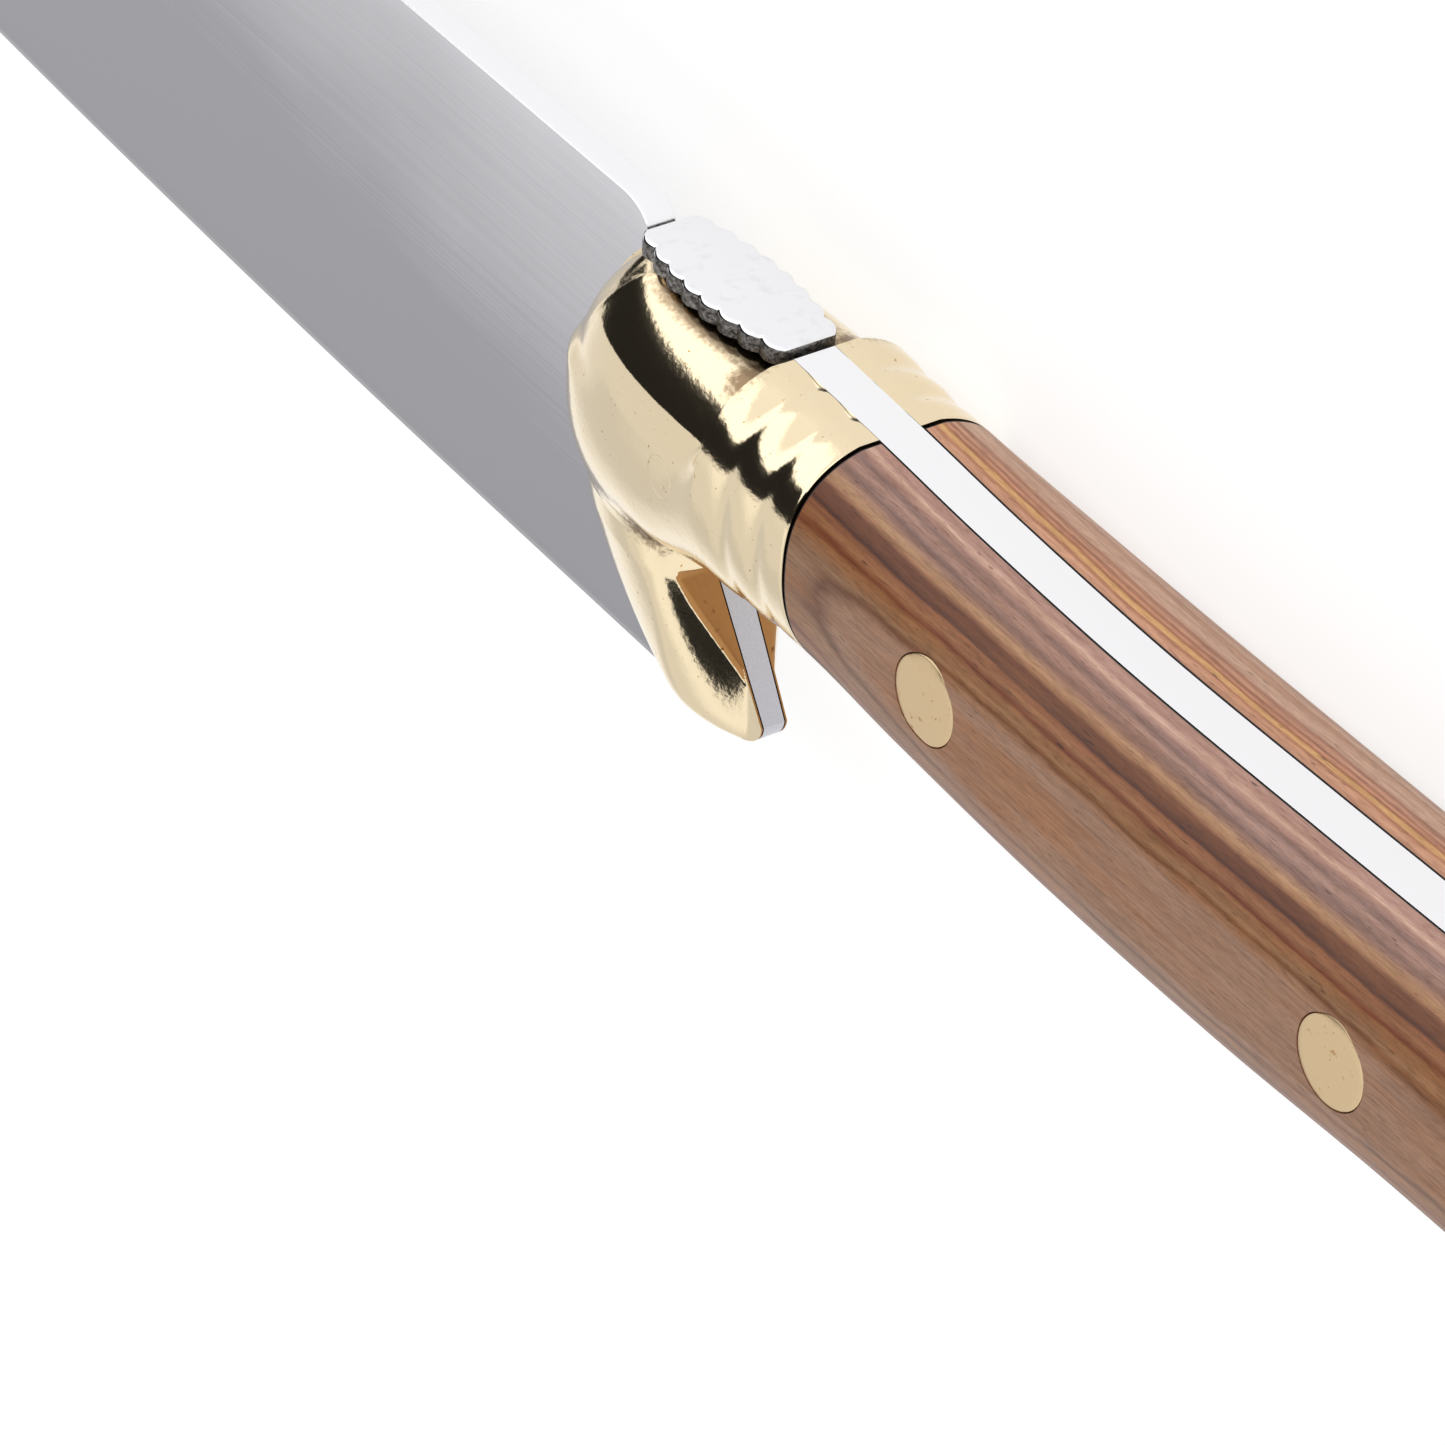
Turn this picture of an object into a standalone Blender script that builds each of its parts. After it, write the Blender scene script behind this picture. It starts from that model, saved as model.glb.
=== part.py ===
"""Full-tang knife with brass guard bolsters, riveted wood scales and a plate on the spine.

The knife lies on its right side. +X runs to the tip, +Y to the cutting edge and +Z out of
the left side. The origin is on the flat land of the right scale, halfway between the front
and the middle pin. Metres throughout.
"""

import math

import bmesh
import bpy

# Widths across the knife, measured from its mid-plane
LAND = 0.0088             # flat side land of the scales: half the handle's width
GAP = 0.0003              # kept between touching pieces
CORE_HALF = 0.00155       # steel half-thickness at the pin line's spine side
CORE_TAPER = 0.025        # lost half-thickness per length towards the edge
CORE_DATUM = -0.007       # Y where the steel has CORE_HALF

# Along the knife
BUTT_X = -0.084
JOINT_X = 0.03566         # bolster meets the scales
RIM_X = 0.0453            # front rim of the bolster's collar
RIM_STEP = 0.0004         # length of the rim's step down to the barrel
SHOULDER_X = 0.056        # steel steps down from core to ground blade
STEP_BACK = 0.0025        # the step stays this far behind the bolster's front line
SPINE_END_X = 0.0625      # rear end of the blade's spine
TIP_X = 0.340

# Handle: X, height of the spine side, height of the belly side, half-width
HANDLE_STATIONS = (
    (-0.084, 0.0058, 0.0128, 0.0088),
    (-0.070, 0.0071, 0.0117, 0.0091),
    (-0.050, 0.0078, 0.0098, 0.0090),
    (-0.025, 0.0069, 0.0099, 0.0091),
    (-0.008, 0.0064, 0.0109, 0.00925),
    (0.010, 0.0061, 0.0111, 0.00925),
    (0.025, 0.0066, 0.0106, 0.0089),
    (0.0357, 0.00735, 0.0101, 0.00846),
    (0.0453, 0.0079, 0.0104, 0.0088),
)
TOP_POWER = 2.5           # superellipse of the upper quarter
TOP_FLAT = 1.035          # its centre height over the real one, which leaves a flat spine
BELLY_POWER = 2.1
BUTT_ROUND = 0.012        # length over which the butt is rounded
BUTT_POWER = 2.6
BUTT_FULLEST = 0.985      # way into the rounding where the end face stands
BUTT_CENTRE_Y = 0.004

# Bolster: front arc, barrel and guard spur
ARC_X, ARC_Y = 0.048, 0.0065
ARC_LONG, ARC_DEEP = 0.0207, 0.0186
BARREL_TOP = 0.00685
BARREL_HALF = 0.0081
FLANK_DEEPER = 0.0007     # the flank's section reaches this far past the collar's belly
FRONT_POWER = 3.0
NOTCH = (                 # underside from the collar to the root of the spur
    (JOINT_X, 0.0101),
    (0.0453, 0.0104),
    (0.0505, 0.0113),
    (0.0530, 0.0125),
)
NOTCH_START = 0.0001      # first level past the joint's lower end
SPUR_ROOT = (0.0530, 0.0130)
SPUR_TIP = (0.0469, 0.0224)
SPUR_HEEL = (0.0508, 0.0248)
SPUR_HALF = 0.0052        # widest half-width at the root
SPUR_THINS = 0.13         # lost half-width per length towards the tip
SPUR_CREST = 0.0035       # from the rear face to the widest line
SPUR_REAR_SHARE = 0.82    # width of the rear face over the widest
SPUR_FALL = 1.7           # power of the fall from the crest to the front line
SPUR_TIP_FLAT = 0.7       # how much the half-width closes below the rear corner
BLEND = 0.0012            # roundness of the valley between barrel and spur
THIN_EDGE = 0.00015       # brass left at its front edge
CORE_TIP_Y = 0.0246       # lowest point of the steel core in the spur

# Blade
SPINE_Y = -0.0093
EDGE_Y = 0.0257
EDGE_START_X = 0.080      # the edge runs straight up to here
EDGE_SWEEP = 0.626        # share of the height lost as the square of the way to the tip
TIP_POWER = 8
BLADE_HALF = 0.0012
BLADE_TIP_HALF = 0.0006
EDGE_HALF = 0.00012
STOCK_REAR_TOP = 0.0555   # hidden rear end of the ground blade, at the seat
STOCK_REAR_LOW = 0.0515   # and at the spur's heel
SPINE_END_ROUND = 0.003   # length of the arc that ends the spine
BODY_X = 0.070            # from here the blade is lofted in one run
TIP_BLUNT = 0.0006

# Spine plate
SEAT_Y = -0.0069
SEAT_CLEAR = 0.0002       # the seat starts this far in front of the collar's rim
PLATE_START_X = 0.0458
PLATE_LENGTH = 0.0162
PLATE_HALF = 0.0031
PLATE_THICK = 0.0013
PLATE_END_SHARE = 0.62    # width of its ends over its middle
PLATE_SWELL = 0.8         # power of the swell between them
SCALLOPS = 8
SCALLOP_DEPTH = 0.00035

# Pins
PIN_R = 0.003
BOLSTER_PIN_R = 0.0015
SCALE_PINS = {"front": 0.020, "middle": -0.020, "rear": -0.060}
BOLSTER_PIN = (0.0500, 0.0017)
PIN_SIDES = 32
BORE_HALF = 0.02          # half-length of the cutters
WELD = 0.00001

STEEL = ("steel", (0.72, 0.72, 0.74, 1), 0.18, 1.0)
PLATE = ("plate_steel", (0.85, 0.85, 0.86, 1), 0.1, 1.0)
BRASS = ("brass", (0.83, 0.66, 0.36, 1), 0.15, 1.0)
PIN_BRASS = ("pin_brass", (0.80, 0.62, 0.33, 1), 0.3, 1.0)
WOOD = ("wood", (0.32, 0.18, 0.11, 1), 0.4, 0.0)


def clear_scene():
    """Removes every object of the open file."""
    for old in list(bpy.data.objects):
        bpy.data.objects.remove(old, do_unlink=True)


def collection(name):
    """A new collection under the scene."""
    made = bpy.data.collections.new(name)
    bpy.context.scene.collection.children.link(made)
    return made


def material(name, colour, roughness, metallic):
    """A Principled material, made once for each name."""
    found = bpy.data.materials.get(name)
    if found:
        return found
    made = bpy.data.materials.new(name)
    made.use_nodes = True
    shader = made.node_tree.nodes["Principled BSDF"]
    shader.inputs["Base Color"].default_value = colour
    shader.inputs["Roughness"].default_value = roughness
    shader.inputs["Metallic"].default_value = metallic
    return made


def move_to(obj, home):
    """Takes an object out of its collections and links it to one."""
    for old in list(obj.users_collection):
        old.objects.unlink(obj)
    home.objects.link(obj)


def finish(obj, looks, home):
    """Gives an object its material and smooth shading, and files it."""
    obj.data.materials.clear()
    obj.data.materials.append(material(*looks))
    obj.data.shade_smooth()
    obj.data.set_sharp_from_angle(angle=math.radians(35))
    move_to(obj, home)
    return obj


def new_object(name, mesh):
    """An object for a mesh, linked to the scene."""
    made = bpy.data.objects.new(name, mesh)
    bpy.context.scene.collection.objects.link(made)
    return made


def through(points, x, column=1):
    """A smooth curve through points sorted by their first value, read at x."""
    x = min(max(x, points[0][0]), points[-1][0])
    i = max(k for k in range(len(points) - 1) if points[k][0] <= x)

    def slope(k):
        a, b = max(k - 1, 0), min(k + 1, len(points) - 1)
        return (points[b][column] - points[a][column]) / (points[b][0] - points[a][0])

    span = points[i + 1][0] - points[i][0]
    t = (x - points[i][0]) / span
    rise = points[i + 1][column] - points[i][column]
    bend_in = slope(i) * span - rise
    bend_out = rise - slope(i + 1) * span
    return points[i][column] + t * rise + t * (1 - t) * ((1 - t) * bend_in + t * bend_out)


def core_half(y):
    """Half-thickness of the steel under the bolsters and scales."""
    return CORE_HALF - CORE_TAPER * (y - CORE_DATUM)


def handle_at(x):
    """Spine Y, belly Y and half-width of the handle at x, with its rounded butt."""
    top, belly, half = (through(HANDLE_STATIONS, x, k) for k in (1, 2, 3))
    into_butt = max(0.0, 1 - (x - BUTT_X) / BUTT_ROUND)
    share = (1 - min(into_butt, BUTT_FULLEST) ** BUTT_POWER) ** (1 / BUTT_POWER)
    centre = BUTT_CENTRE_Y * (1 if into_butt > 0 else 0)
    spine_y = centre - (top + centre) * share
    belly_y = centre + (belly - centre) * share
    return spine_y, belly_y, half * share


def quarter_half(y, reach, half, power):
    """Half-width of a superellipse quarter at the height y."""
    return half * max(0.0, 1 - (abs(y) / reach) ** power) ** (1 / power)


def side_half(x, y):
    """Half-width of the handle or collar at the side point (x, y)."""
    spine_y, belly_y, half = handle_at(x)
    if y < 0:
        return min(LAND, quarter_half(y, -spine_y * TOP_FLAT, half, TOP_POWER))
    return min(LAND, quarter_half(y, belly_y, half, BELLY_POWER))


def scale_ring(x, steps):
    """Section of the left scale at x: (y, height over the mid-plane), inner edge first."""
    spine_y, belly_y, half = handle_at(x)
    inner = [(spine_y, core_half(spine_y) + GAP)]
    top_angle = math.asin(TOP_FLAT ** (-TOP_POWER / 2))
    outer = []
    for i in range(steps):
        angle = top_angle * (1 - i / steps)
        y = spine_y * TOP_FLAT * math.sin(angle) ** (2 / TOP_POWER)
        outer.append((y, min(LAND, half * math.cos(angle) ** (2 / TOP_POWER))))
    low_half = core_half(belly_y) + GAP
    end_angle = math.acos((low_half / half) ** (BELLY_POWER / 2))
    for i in range(steps + 1):
        angle = end_angle * i / steps
        y = belly_y * math.sin(angle) ** (2 / BELLY_POWER)
        outer.append((y, min(LAND, half * math.cos(angle) ** (2 / BELLY_POWER))))
    return inner + outer


def loft(name, rings, side=1):
    """A closed body through rings of (x, y, height) of equal length, on one side of the blade."""
    bm = bmesh.new()
    rows = [[bm.verts.new((x, y, LAND + side * z)) for x, y, z in ring] for ring in rings]
    count = len(rows[0])
    for near, far in zip(rows, rows[1:]):
        for k in range(count):
            n = (k + 1) % count
            bm.faces.new((near[k], near[n], far[n], far[k]))
    bm.faces.new(rows[0])
    bm.faces.new(rows[-1])
    bmesh.ops.recalc_face_normals(bm, faces=bm.faces)
    bmesh.ops.triangulate(bm, faces=bm.faces)
    mesh = bpy.data.meshes.new(name)
    bm.to_mesh(mesh)
    bm.free()
    return new_object(name, mesh)


def evaluated_mesh(obj):
    """A new mesh of an object as the viewport shows it."""
    graph = bpy.context.evaluated_depsgraph_get()
    return bpy.data.meshes.new_from_object(obj.evaluated_get(graph))


def flat_outline(name, points, half):
    """A mesh slab from a closed outline of (x, y), extruded to both sides."""
    data = bpy.data.curves.new(name, "CURVE")
    data.dimensions = "2D"
    data.fill_mode = "BOTH"
    data.extrude = half
    spline = data.splines.new("POLY")
    spline.points.add(len(points) - 1)
    for point, (x, y) in zip(spline.points, points):
        point.co = (x, y, 0, 1)
    spline.use_cyclic_u = True
    curve = new_object(name + "_outline", data)
    mesh = evaluated_mesh(curve)
    bm = bmesh.new()
    bm.from_mesh(mesh)
    bmesh.ops.remove_doubles(bm, verts=bm.verts, dist=WELD)
    bm.to_mesh(mesh)
    bm.free()
    bpy.data.objects.remove(curve)
    return new_object(name, mesh)


def boolean(obj, other, operation):
    """Adds an exact Boolean modifier."""
    cut = obj.modifiers.new(other.name, "BOOLEAN")
    cut.operation = operation
    cut.solver = "EXACT"
    cut.object = other


def cylinder(name, radius, half_length, x, y, sides=PIN_SIDES):
    """A cylinder across the knife, centred on its mid-plane."""
    bpy.ops.mesh.primitive_cylinder_add(
        vertices=sides, radius=radius, depth=2 * half_length, location=(x, y, LAND)
    )
    made = bpy.context.object
    made.name = name
    return made


def front_x(y):
    """Front line of the bolster, an arc bowed to the tip."""
    return ARC_X + ARC_LONG * math.sqrt(max(0.0, 1 - ((y - ARC_Y) / ARC_DEEP) ** 2))


def spur_line_x(y):
    """Rear face of the spur, drawn on past both its ends."""
    (x0, y0), (x1, y1) = SPUR_ROOT, SPUR_TIP
    return x0 + (x1 - x0) * (y - y0) / (y1 - y0)


def rear_x(y):
    """Rear line of the bolster half: joint, notch, spur face and rounded tip."""
    if y <= NOTCH[0][1]:
        return JOINT_X + GAP
    if y <= NOTCH[-1][1]:
        for (x0, y0), (x1, y1) in zip(NOTCH, NOTCH[1:]):
            if y <= y1:
                return x0 + (x1 - x0) * (y - y0) / (y1 - y0)
    if y <= SPUR_TIP[1]:
        return min(NOTCH[-1][0], spur_line_x(y))
    share = (y - SPUR_TIP[1]) / (SPUR_HEEL[1] - SPUR_TIP[1])
    return SPUR_TIP[0] + (SPUR_HEEL[0] - SPUR_TIP[0]) * (1 - math.sqrt(max(0.0, 1 - share**2)))


def barrel_half(x, y):
    """Half-width of the barrel and its flat flank in front of the collar."""
    reach = BARREL_TOP * TOP_FLAT if y < 0 else through(HANDLE_STATIONS, RIM_X, 2) + FLANK_DEEPER
    power = TOP_POWER if y < 0 else BELLY_POWER
    section = quarter_half(y, reach, BARREL_HALF, power)
    way = max(0.0, (x - RIM_X) / (front_x(y) - RIM_X))
    return section * math.sqrt(max(0.0, 1 - way**FRONT_POWER))


def spur_half(x, y):
    """Half-width of the guard spur, widest a little in front of its rear face."""
    widest = SPUR_HALF - SPUR_THINS * max(0.0, y - SPUR_ROOT[1])
    tip_way = max(0.0, (y - SPUR_TIP[1]) / (ARC_Y + ARC_DEEP - SPUR_TIP[1]))
    widest *= math.sqrt(max(0.0, 1 - SPUR_TIP_FLAT * tip_way**3))
    ahead = x - spur_line_x(y)
    if ahead < SPUR_CREST:
        return widest * (1 - (1 - SPUR_REAR_SHARE) * (1 - ahead / SPUR_CREST) ** 2)
    way = (ahead - SPUR_CREST) / max(front_x(y) - spur_line_x(y) - SPUR_CREST, 0.001)
    return widest * math.sqrt(max(0.0, 1 - min(way, 1.0) ** SPUR_FALL))


def bolster_half(x, y):
    """Half-width of a whole bolster at the side point (x, y)."""
    if x <= RIM_X:
        return side_half(x, y)
    barrel, spur = barrel_half(x, y), spur_half(x, y)
    blended = (barrel + spur + math.sqrt((barrel - spur) ** 2 + BLEND**2)) / 2
    return min(LAND, blended if y > 0 else barrel)


def blade_half(x, y):
    """Half-thickness of the ground blade at the side point (x, y)."""
    spine = BLADE_HALF + (BLADE_TIP_HALF - BLADE_HALF) * (x - SHOULDER_X) / (TIP_X - SHOULDER_X)
    share = (y - SPINE_Y) / (edge_y(x) - SPINE_Y)
    return spine + (EDGE_HALF - spine) * min(max(share, 0.0), 1.0)


def edge_y(x):
    """Cutting edge: straight at the heel, then a sweep up to the tip."""
    way = max(0.0, (x - EDGE_START_X) / (TIP_X - EDGE_START_X))
    lost = EDGE_SWEEP * way**2 + (1 - EDGE_SWEEP) * way**TIP_POWER
    return EDGE_Y - (EDGE_Y - SPINE_Y) * lost


def bolster_columns(y, rear, count):
    """X places across a bolster level, with two of them at the collar's rim."""
    front = front_x(y)
    if rear > RIM_X - 0.001:
        return [rear + (front - rear) * i / (count + 3) for i in range(count + 4)]
    collar = [rear + (RIM_X - rear) * i / 3 for i in range(4)]
    start = RIM_X + RIM_STEP
    body = [start + (front - start) * math.sin(math.pi / 2 * i / (count - 1)) for i in range(count)]
    return collar + body


def step_x(y):
    """Where the steel steps from core to blade, always under the bolster."""
    return min(SHOULDER_X, front_x(y) - STEP_BACK)


def bolster_level(y, count):
    """One level ring of a bolster half: (x, y, height), inner side first."""
    rear, front = rear_x(y), front_x(y)
    step = step_x(y) + GAP
    core = core_half(y) + GAP
    over_blade = blade_half(step, y) + GAP
    rim = [RIM_X, RIM_X + RIM_STEP]
    if rear >= RIM_X:
        rim = [(2 * rear + step) / 3, (rear + 2 * step) / 3]
    inner = [(x, core) for x in [rear] + rim + [step]] + [(step, over_blade), (front, over_blade)]
    outer = []
    for x in bolster_columns(y, rear, count):
        floor = (core if x < step + GAP else over_blade) + THIN_EDGE
        outer.append((x, max(bolster_half(x, lifted(x, y)), floor)))
    return [(x, lifted(x, y), z) for x, z in inner + outer[::-1]]


def lifted(x, y):
    """Level y raised over the collar, whose top stands over the barrel's."""
    if x > RIM_X or y >= 0:
        return y
    return y * through(HANDLE_STATIONS, x, 1) / BARREL_TOP


def bolster(side_name, side, home):
    """One brass half: collar, barrel and spur, lofted through levels from spine to tip."""
    above = [-BARREL_TOP + BARREL_TOP * i / 7 for i in range(7)]
    belly = [NOTCH[0][1] * math.sin(math.pi / 2 * i / 7) for i in range(7)]
    notch = [NOTCH[0][1] + NOTCH_START] + [y for _, y in NOTCH[1:]]
    spur = [SPUR_ROOT[1] + (SPUR_TIP[1] - SPUR_ROOT[1]) * i / 6 for i in range(7)]
    tip = [SPUR_TIP[1] + (SPUR_HEEL[1] - SPUR_TIP[1]) * i / 5 for i in range(1, 6)]
    rings = [bolster_level(y, 10) for y in above + belly + notch + spur + tip]
    return finish(loft(side_name + "_bolster", rings, side), BRASS, home)


def scale(side_name, side, home):
    """One wood scale from the butt to the joint."""
    length = JOINT_X - GAP - BUTT_X
    butt = [BUTT_X + BUTT_ROUND * (1 - math.cos(math.pi / 2 * i / 5)) for i in range(5)]
    body = [BUTT_X + BUTT_ROUND + (length - BUTT_ROUND) * i / 16 for i in range(17)]
    rings = [[(x, y, z) for y, z in scale_ring(x, 7)] for x in butt + body]
    return finish(loft(side_name + "_scale", rings, side), WOOD, home)


def core_outline():
    """Side outline of tang, seat, guard core and spur as (x, y), round from the butt."""
    count = 24
    ways = [1 - math.cos(math.pi / 2 * i / count) for i in range(count + 1)]
    tang_x = [BUTT_X + (RIM_X - BUTT_X) * way for way in ways]
    spine = [(x, handle_at(x)[0]) for x in tang_x]
    seat = [(RIM_X + SEAT_CLEAR, SEAT_Y), (SHOULDER_X, SEAT_Y)]
    tip_y = [CORE_TIP_Y + (SPUR_TIP[1] - CORE_TIP_Y) * i / 5 for i in range(6)]
    heel = [(step_x(y), y) for y in tip_y[::-1]]
    tip = [(rear_x(y), y) for y in tip_y]
    notch = [(x, y) for x, y in NOTCH[:0:-1]]
    root = [SPUR_ROOT]
    belly = [(x, handle_at(x)[1]) for x in tang_x[::-1] if x < JOINT_X]
    return spine + seat + heel + tip + root + notch + belly


def blade_rings():
    """Sections of the ground blade from under the bolster to the tip."""
    stations = [((STOCK_REAR_TOP, SEAT_Y), (STOCK_REAR_LOW, SPUR_HEEL[1]))]
    for i in range(4):
        turn = math.pi / 2 * i / 3
        x = SPINE_END_X + SPINE_END_ROUND * (1 - math.cos(turn))
        stations.append(((x, SEAT_Y + (SPINE_Y - SEAT_Y) * math.sin(turn)), (x, edge_y(x))))
    reach = TIP_X - TIP_BLUNT - BODY_X
    for i in range(27):
        x = BODY_X + reach * math.sin(math.pi / 2 * i / 26)
        stations.append(((x, SPINE_Y), (x, edge_y(x))))
    rings = []
    for top, low in stations:
        spine = blade_half(*top)
        left = [(*top, spine), (*low, EDGE_HALF)]
        right = [(*low, -EDGE_HALF), (*top, -spine)]
        rings.append(left + right)
    return rings


def blade_and_tang(home):
    """One steel piece: slab-sided core and tang, tapered to the edge side, and ground blade."""
    steel = flat_outline("blade_and_tang", core_outline(), 1.0)
    for vert in steel.data.vertices:
        side = 1 if vert.co.z > 0 else -1
        vert.co.z = LAND + side * core_half(vert.co.y)
    blade = loft("blade_stock", blade_rings())
    boolean(steel, blade, "UNION")
    joined = evaluated_mesh(steel)
    steel.modifiers.clear()
    steel.data = joined
    bpy.data.objects.remove(blade)
    return finish(steel, STEEL, home)


def plate_half(share):
    """Half-width of the spine plate along its length, with scalloped sides."""
    swell = math.sin(math.pi * share) ** PLATE_SWELL
    leaf = PLATE_HALF * (PLATE_END_SHARE + (1 - PLATE_END_SHARE) * swell)
    return leaf + SCALLOP_DEPTH * abs(math.sin(math.pi * SCALLOPS * share))


def spine_plate(home):
    """Small plate seated across the spine, its length along the knife."""
    steps = SCALLOPS * 4
    shares = [i / steps for i in range(steps + 1)]
    side = [(PLATE_START_X + PLATE_LENGTH * share, plate_half(share)) for share in shares]
    outline = side + [(x, -z) for x, z in side[::-1]]
    plate = flat_outline("spine_plate", outline, PLATE_THICK / 2)
    for vert in plate.data.vertices:
        x, across, through_plate = vert.co
        vert.co = (x, SEAT_Y - GAP - PLATE_THICK / 2 - through_plate, LAND + across)
    bm = bmesh.new()
    bm.from_mesh(plate.data)
    bmesh.ops.recalc_face_normals(bm, faces=bm.faces)
    bm.to_mesh(plate.data)
    bm.free()
    return finish(plate, PLATE, home)


def pins(home):
    """Scale pins and the thinner bolster pin, each flush with both sides."""
    made = []
    for place, x in SCALE_PINS.items():
        made.append(cylinder(f"scale_pin_{place}", PIN_R, LAND, x, 0))
    x, y = BOLSTER_PIN
    made.append(cylinder("bolster_pin", BOLSTER_PIN_R, bolster_half(x, y), x, y))
    for pin in made:
        finish(pin, PIN_BRASS, home)
    return made


def drill(pin_list, pieces, home):
    """Bores every piece for the pins that cross it, with a gap all round."""
    for pin in pin_list:
        radius = PIN_R if pin.name.startswith("scale") else BOLSTER_PIN_R
        bore = cylinder(f"{pin.name}_bore", radius + GAP, BORE_HALF, pin.location.x, pin.location.y)
        bore.display_type = "WIRE"
        bore.hide_render = True
        move_to(bore, home)
        crossed = "scale" if pin.name.startswith("scale") else "bolster"
        for piece in pieces:
            if crossed in piece.name or piece.name == "blade_and_tang":
                boolean(piece, bore, "DIFFERENCE")


def main():
    """Builds the ten pieces and bores them for the pins."""
    clear_scene()
    home = collection("knife")
    cutters = collection("cutters")
    pieces = [blade_and_tang(home)]
    for side_name, side in (("left", 1), ("right", -1)):
        pieces.append(bolster(side_name, side, home))
        pieces.append(scale(side_name, side, home))
    spine_plate(home)
    drill(pins(home), pieces, cutters)


main()
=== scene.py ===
"""Full-tang knife with forged brass bolsters, riveted wood scales and a plate on its spine.

The knife lies on its right side: +X runs to the tip, +Y to the cutting edge and +Z out of
its left side. Lengths are metres unless a name says millimetres.
"""

from __future__ import annotations

import logging
import math
from collections.abc import Callable, Iterable, Sequence
from dataclasses import dataclass, replace
from enum import Enum

import bmesh
import bpy
from mathutils import Matrix, Vector

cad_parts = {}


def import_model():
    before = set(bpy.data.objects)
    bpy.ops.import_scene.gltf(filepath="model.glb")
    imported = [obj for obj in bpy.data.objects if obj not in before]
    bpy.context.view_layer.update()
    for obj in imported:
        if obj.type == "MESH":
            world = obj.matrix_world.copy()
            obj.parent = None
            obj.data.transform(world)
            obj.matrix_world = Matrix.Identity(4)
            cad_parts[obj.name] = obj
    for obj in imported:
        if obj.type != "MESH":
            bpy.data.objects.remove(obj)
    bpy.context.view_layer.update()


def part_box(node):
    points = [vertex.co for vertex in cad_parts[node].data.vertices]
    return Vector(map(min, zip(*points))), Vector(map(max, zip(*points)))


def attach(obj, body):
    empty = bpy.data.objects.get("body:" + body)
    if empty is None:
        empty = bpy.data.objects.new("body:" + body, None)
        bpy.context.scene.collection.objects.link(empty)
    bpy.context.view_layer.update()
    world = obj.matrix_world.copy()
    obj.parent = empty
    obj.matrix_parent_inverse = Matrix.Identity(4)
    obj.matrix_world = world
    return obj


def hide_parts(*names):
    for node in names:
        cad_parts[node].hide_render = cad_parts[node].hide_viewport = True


LOG = logging.getLogger("knife")
MM = 0.001
WELD = 0.000004
TIP_BLUNT = 0.0006
BORE_DEPTH = 0.1

Place = Callable[[float, float], Vector]


class Side(Enum):
    """A side of the knife, as its direction along Z."""

    LEFT = 1
    RIGHT = -1

    @property
    def word(self) -> str:
        """The side's name as the frame's nodes spell it."""
        return self.name.lower()


# ---------------------------------------------------------------- node and mesh helpers


def linear(code: str) -> tuple[float, float, float, float]:
    """Turns an sRGB hex colour to linear.

    Args:
        code: Six hex digits after a hash.

    Returns:
        Linear red, green and blue, and an alpha of one.
    """
    shares = [int(code[i : i + 2], 16) / 255 for i in (1, 3, 5)]
    parts = [s / 12.92 if s <= 0.04045 else ((s + 0.055) / 1.055) ** 2.4 for s in shares]
    return (parts[0], parts[1], parts[2], 1.0)


def add(tree: bpy.types.NodeTree, kind: str, sockets: dict | None = None, **settings) -> bpy.types.Node:
    """Adds one shader node with its settings, its constants and its links.

    Args:
        tree: The node tree to add to.
        kind: The node's type name after "ShaderNode".
        sockets: Input name or number to a constant or to another node's output.
        **settings: Properties of the node; "stops" fills a colour ramp.

    Returns:
        The new node.
    """
    node = tree.nodes.new("ShaderNode" + kind)
    stops = settings.pop("stops", None)
    for name, value in settings.items():
        setattr(node, name, value)
    for key, value in (sockets or {}).items():
        if isinstance(value, bpy.types.NodeSocket):
            tree.links.new(value, node.inputs[key])
        else:
            node.inputs[key].default_value = value
    if stops:
        elements = node.color_ramp.elements
        while len(elements) < len(stops):
            elements.new(1.0)
        for element, (place, code) in zip(elements, stops):
            element.position = place
            element.color = linear(code)
    return node


def new_material(name: str) -> tuple[bpy.types.Material, bpy.types.NodeTree, bpy.types.Node]:
    """Makes an empty node material.

    Args:
        name: The material's name.

    Returns:
        The material, its node tree and its Principled shader.
    """
    made = bpy.data.materials.new(name)
    made.use_nodes = True
    tree = made.node_tree
    return made, tree, tree.nodes["Principled BSDF"]


def formed_grid(columns: int, rows: int, place: Place) -> bmesh.types.BMesh:
    """Makes a grid and moves each of its points to a place on a surface.

    Args:
        columns: Faces across.
        rows: Faces along.
        place: Gives a point's place from its shares across and along, 0 to 1.

    Returns:
        The bmesh, with each point's two shares kept in the layers "across" and "along".
    """
    bm = bmesh.new()
    across = bm.verts.layers.float.new("across")
    along = bm.verts.layers.float.new("along")
    bmesh.ops.create_grid(bm, x_segments=columns, y_segments=rows, size=0.5)
    for vert in bm.verts:
        vert[across], vert[along] = vert.co.x + 0.5, vert.co.y + 0.5
        vert.co = place(vert[across], vert[along])
    return bm


def formed_shell(columns: int, rows: int, inner: Place, outer: Place) -> bmesh.types.BMesh:
    """Makes a closed shell between two surfaces of the same two shares.

    Args:
        columns: Faces across.
        rows: Faces along.
        inner: The inner surface.
        outer: The outer surface.

    Returns:
        The bmesh.
    """
    bm = formed_grid(columns, rows, inner)
    made = bmesh.ops.extrude_face_region(bm, geom=bm.faces[:], use_keep_orig=True)
    across = bm.verts.layers.float["across"]
    along = bm.verts.layers.float["along"]
    for item in made["geom"]:
        if isinstance(item, bmesh.types.BMVert):
            item.co = outer(item[across], item[along])
    return bm


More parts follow.
